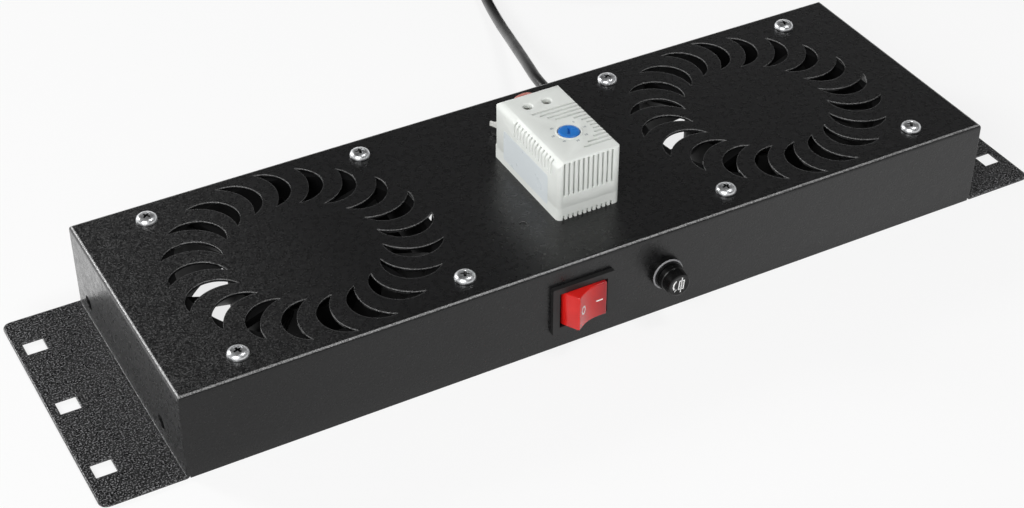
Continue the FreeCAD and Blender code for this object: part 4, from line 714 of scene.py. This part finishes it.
def fuse_symbol():
    """The plain sign of a fuse, and an arrow arc that shows the way to turn."""
    strokes = []
    for x0, y0, x1, y1 in ((0.85, -4.0, 1.4, 4.0), (-0.35, -2.5, 0.2, 2.5), (2.05, -2.5, 2.6, 2.5),
                           (0.2, -2.5, 2.05, -1.95), (0.2, 1.95, 2.05, 2.5)):
        strokes.append(flat_stroke([(x0, y0), (x1, y0), (x1, y1), (x0, y1)]))
    inner, outer = 2.75, 3.45
    for step in range(12):
        start, end = (math.radians(125 + 9.2 * (step + edge)) for edge in (0, 1))
        corners = ((inner, start), (outer, start), (outer, end), (inner, end))
        strokes.append(flat_stroke([(radius * math.cos(turn), radius * math.sin(turn))
                                    for radius, turn in corners]))
    strokes.append(flat_stroke([(-1.0, -2.2), (-2.6, -1.7), (-2.0, -3.5)]))
    return joined([(mesh, Matrix()) for mesh in strokes])


def make_fuse_cap():
    """The carrier's knob with a groove, a ribbed grip and a dished face, and the holder's trim ring, light
    grey as a painted highlight on its rim.
    """
    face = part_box("fuse_cap")[0][1] / MM

    def ribs(turn, radius, height):
        return radius * (1 - 0.012 * (0.5 + 0.5 * math.cos(24 * turn))) if 0.6 < height < 4.6 else radius
    cap = new_mesh("cap", lathe([
        (0, 0.25), (4.3, 0.25), (4.6, 0.03), (5.1, 0.0), (5.5, 0.25), (5.65, 0.8), (6.0, 4.4), (5.9, 4.7),
        (5.95, 5.0), (6.3, 5.3), (6.45, 7.6), (4.3, 7.7), (4.3, 18.6), (2.62, 18.6), (2.62, 9.8),
        (0, 9.8)], 96, ribs))
    place = at(FUSE_X, face, CONTROLS_Z) @ Matrix.Rotation(math.radians(-90), 4, "X")
    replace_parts(add_piece("fuse_cap_knob", cap, "holder_plastic", "fuse_knob", place), "fuse_cap")
    spot = at(FUSE_X, face + 0.23, CONTROLS_Z) @ FACING_OUT @ Matrix.Rotation(math.radians(-6), 4, "Z")
    add_piece("fuse_mark", fuse_symbol(), "holder_plastic", "fuse_knob", spot, WHITE_PRINT)
    ring = new_mesh("trim", lathe([(6.95, 0.0), (6.95, 0.35), (7.15, 0.5), (7.6, 0.45), (7.78, 0.2),
                                   (7.78, 0.0), (6.95, 0.0)], 64))
    flange = 2.3
    spot = at(FUSE_X, FRONT - flange, CONTROLS_Z) @ FACING_OUT
    add_piece("holder_trim", ring, "holder_plastic", "tray", spot, TRIM_PAINTED_HIGHLIGHT)


make_fuse_cap()


# ---------------------------------------------------------------- thermostat label

def make_label():
    """A bare label on the side of the cover."""
    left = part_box("thermostat_cover")[0][0] / MM
    middle_y, middle_z, radius = -6.5, 55.5, 1.2
    outline = []
    for x, y, start in ((19.2, 6.7, 0), (-19.2, 6.7, 90), (-19.2, -6.7, 180), (19.2, -6.7, 270)):
        for step in range(7):
            turn = math.radians(start + 15 * step)
            outline.append((x + radius * math.cos(turn), y + radius * math.sin(turn)))
    label = new_mesh("label", prism([[(left - z, middle_y + x, middle_z + y) for x, y in outline]
                                     for z in (-0.02, 0.06)]))
    add_piece("cover_label", label, "thermostat_plastic", "tray", None, LABEL)


make_label()


# ---------------------------------------------------------------- strain relief

def make_strain_relief():
    """A tapered sleeve with the rings that let such a sleeve bend; here it is one rigid piece."""
    low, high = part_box("cord_strain_relief")
    start, end = low[1] / MM, high[1] / MM
    bore, foot, count = 2.95, 5.5, 7
    profile = [(bore, 0.0), (9.0, 0.0), (9.0, 2.0), (7.0, 2.0), (7.0, 3.5), (9.0, 3.5), (9.0, 4.6),
               (8.6, 5.3), (6.2, foot)]
    length = end - start - foot
    for ring in range(count):
        base = foot + length * (ring + 0.12) / count
        radius = 6.0 - 1.7 * (ring + 0.5) / count
        profile += [(radius - 0.75, base), (radius - 0.75, base + 0.35), (radius, base + 0.75),
                    (radius - 0.02, base + length / count - 0.45)]
    profile += [(4.1, end - start), (bore, end - start), (bore, 0.0)]
    sleeve = new_mesh("sleeve", lathe(profile, 48))
    cord_x, cord_z = 54.0, 22.0
    place = at(cord_x, start, cord_z) @ Matrix.Rotation(math.radians(-90), 4, "X")
    piece = add_piece("strain_relief", sleeve, "cord_rubber", "tray", place, smooth=50)
    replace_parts(piece, "cord_strain_relief")


make_strain_relief()


# ---------------------------------------------------------------- floor and light

def added(tree, kind, inputs, **settings):
    """A node whose inputs, by name or number, take a value or another node's output."""
    node = tree.nodes.new(kind)
    for key, value in settings.items():
        setattr(node, key, value)
    for socket, value in inputs.items():
        if isinstance(value, bpy.types.NodeSocket):
            tree.links.new(value, node.inputs[socket])
        else:
            node.inputs[socket].default_value = value
    return node


def graded(tree, value, low, high, low_value, high_value, **settings):
    """Goes from one value to another while the input goes from low to high."""
    inputs = {"Value": value, "From Min": low, "From Max": high, "To Min": low_value, "To Max": high_value}
    return added(tree, "ShaderNodeMapRange", inputs, **settings).outputs[0]


def greater(tree, value, other):
    """The greater of two outputs."""
    return added(tree, "ShaderNodeMath", {0: value, 1: other}, operation="MAXIMUM").outputs[0]


def make_floor():
    """A floor that the camera and reflections see as white, and that keeps the shadow. In reflections its
    glow falls toward the left ahead of the panel, and grows toward the rear behind it."""
    size, drop = 6.0, 0.0002
    mesh = bpy.data.meshes.new("floor")
    corners = [(x * size, y * size, -drop) for x, y in ((-1, -1), (1, -1), (1, 1), (-1, 1))]
    mesh.from_pydata(corners, [], [(0, 1, 2, 3)])
    floor = bpy.data.objects.new("floor", mesh)
    bpy.context.scene.collection.objects.link(floor)
    mat = bpy.data.materials.new("floor")
    mat.use_nodes = True
    tree = mat.node_tree
    shader = tree.nodes["Principled BSDF"]
    shader.inputs["Base Color"].default_value = (0.92, 0.92, 0.92, 1)
    shader.inputs["Roughness"].default_value = 0.9
    shader.inputs["Specular IOR Level"].default_value = 0.0

    ray = tree.nodes.new("ShaderNodeLightPath").outputs
    spot = tree.nodes.new("ShaderNodeTexCoord").outputs["Object"]
    place = added(tree, "ShaderNodeSeparateXYZ", {0: spot}).outputs
    across = graded(tree, place["X"], -0.2, 0.14, 0.58, 1.03)
    ahead = graded(tree, place["Y"], -0.075, -0.058, 1.0, 0.0)
    behind = graded(tree, place["Y"], 0.0, 0.08, 0.8, 1.6)
    mirrored = added(tree, "ShaderNodeMix", {"Factor": ahead, "A": behind, "B": across}).outputs["Result"]
    strength = added(tree, "ShaderNodeMix", {"Factor": ray["Is Camera Ray"], "A": mirrored, "B": 1.0})
    glow = added(tree, "ShaderNodeEmission", {"Strength": strength.outputs["Result"]})

    through = greater(tree, ray["Is Glossy Ray"], ray["Is Transmission Ray"])
    seen = greater(tree, ray["Is Camera Ray"], through)
    white_share = 0.8
    share = added(tree, "ShaderNodeMath", {0: seen, 1: white_share}, operation="MULTIPLY").outputs[0]
    mix = added(tree, "ShaderNodeMixShader", {0: share, 1: shader.outputs[0], 2: glow.outputs[0]})
    tree.links.new(mix.outputs[0], tree.nodes["Material Output"].inputs[0])
    mesh.materials.append(mat)


def make_world():
    """A studio that is bright near the horizon and dark overhead. The camera sees plain white instead."""
    world = bpy.data.worlds.new("studio")
    bpy.context.scene.world = world
    world.use_nodes = True
    tree = world.node_tree
    way = tree.nodes.new("ShaderNodeTexCoord").outputs["Generated"]
    height = added(tree, "ShaderNodeSeparateXYZ", {0: way}).outputs["Z"]
    sky = tree.nodes["Background"]
    sky.inputs["Color"].default_value = (1, 1, 1, 1)
    brightness = graded(tree, height, 0.05, 0.42, 1.0, 0.1, interpolation_type="SMOOTHSTEP")
    tree.links.new(brightness, sky.inputs["Strength"])
    white = added(tree, "ShaderNodeBackground", {"Color": (1, 1, 1, 1)})
    ray = tree.nodes.new("ShaderNodeLightPath").outputs
    inputs = {0: ray["Is Camera Ray"], 1: sky.outputs[0], 2: white.outputs[0]}
    mix = added(tree, "ShaderNodeMixShader", inputs)
    tree.links.new(mix.outputs[0], tree.nodes["World Output"].inputs[0])


def make_lamps():
    """Square lamps: the key from the front left, one overhead, and one behind for the left wall."""
    for name, place, target, width, watts in (
            ("key", (-1.25, -1.0, 1.2), (0, 0, 0), 1.2, 27),
            ("top", (0.8, -0.4, 1.9), (0, 0, 0), 0.5, 9),
            ("rear", (-1.2, 1.5, 0.9), (0, 0, 0.02), 0.5, 16)):
        data = bpy.data.lights.new(name, "AREA")
        data.shape = "SQUARE"
        data.size = width
        data.energy = watts
        lamp = bpy.data.objects.new(name, data)
        bpy.context.scene.collection.objects.link(lamp)
        lamp.location = place
        lamp.rotation_mode = "QUATERNION"
        lamp.rotation_quaternion = (Vector(target) - Vector(place)).to_track_quat("-Z", "Y")


make_floor()
make_world()
make_lamps()

scene = bpy.context.scene
scene.view_settings.view_transform = "Standard"
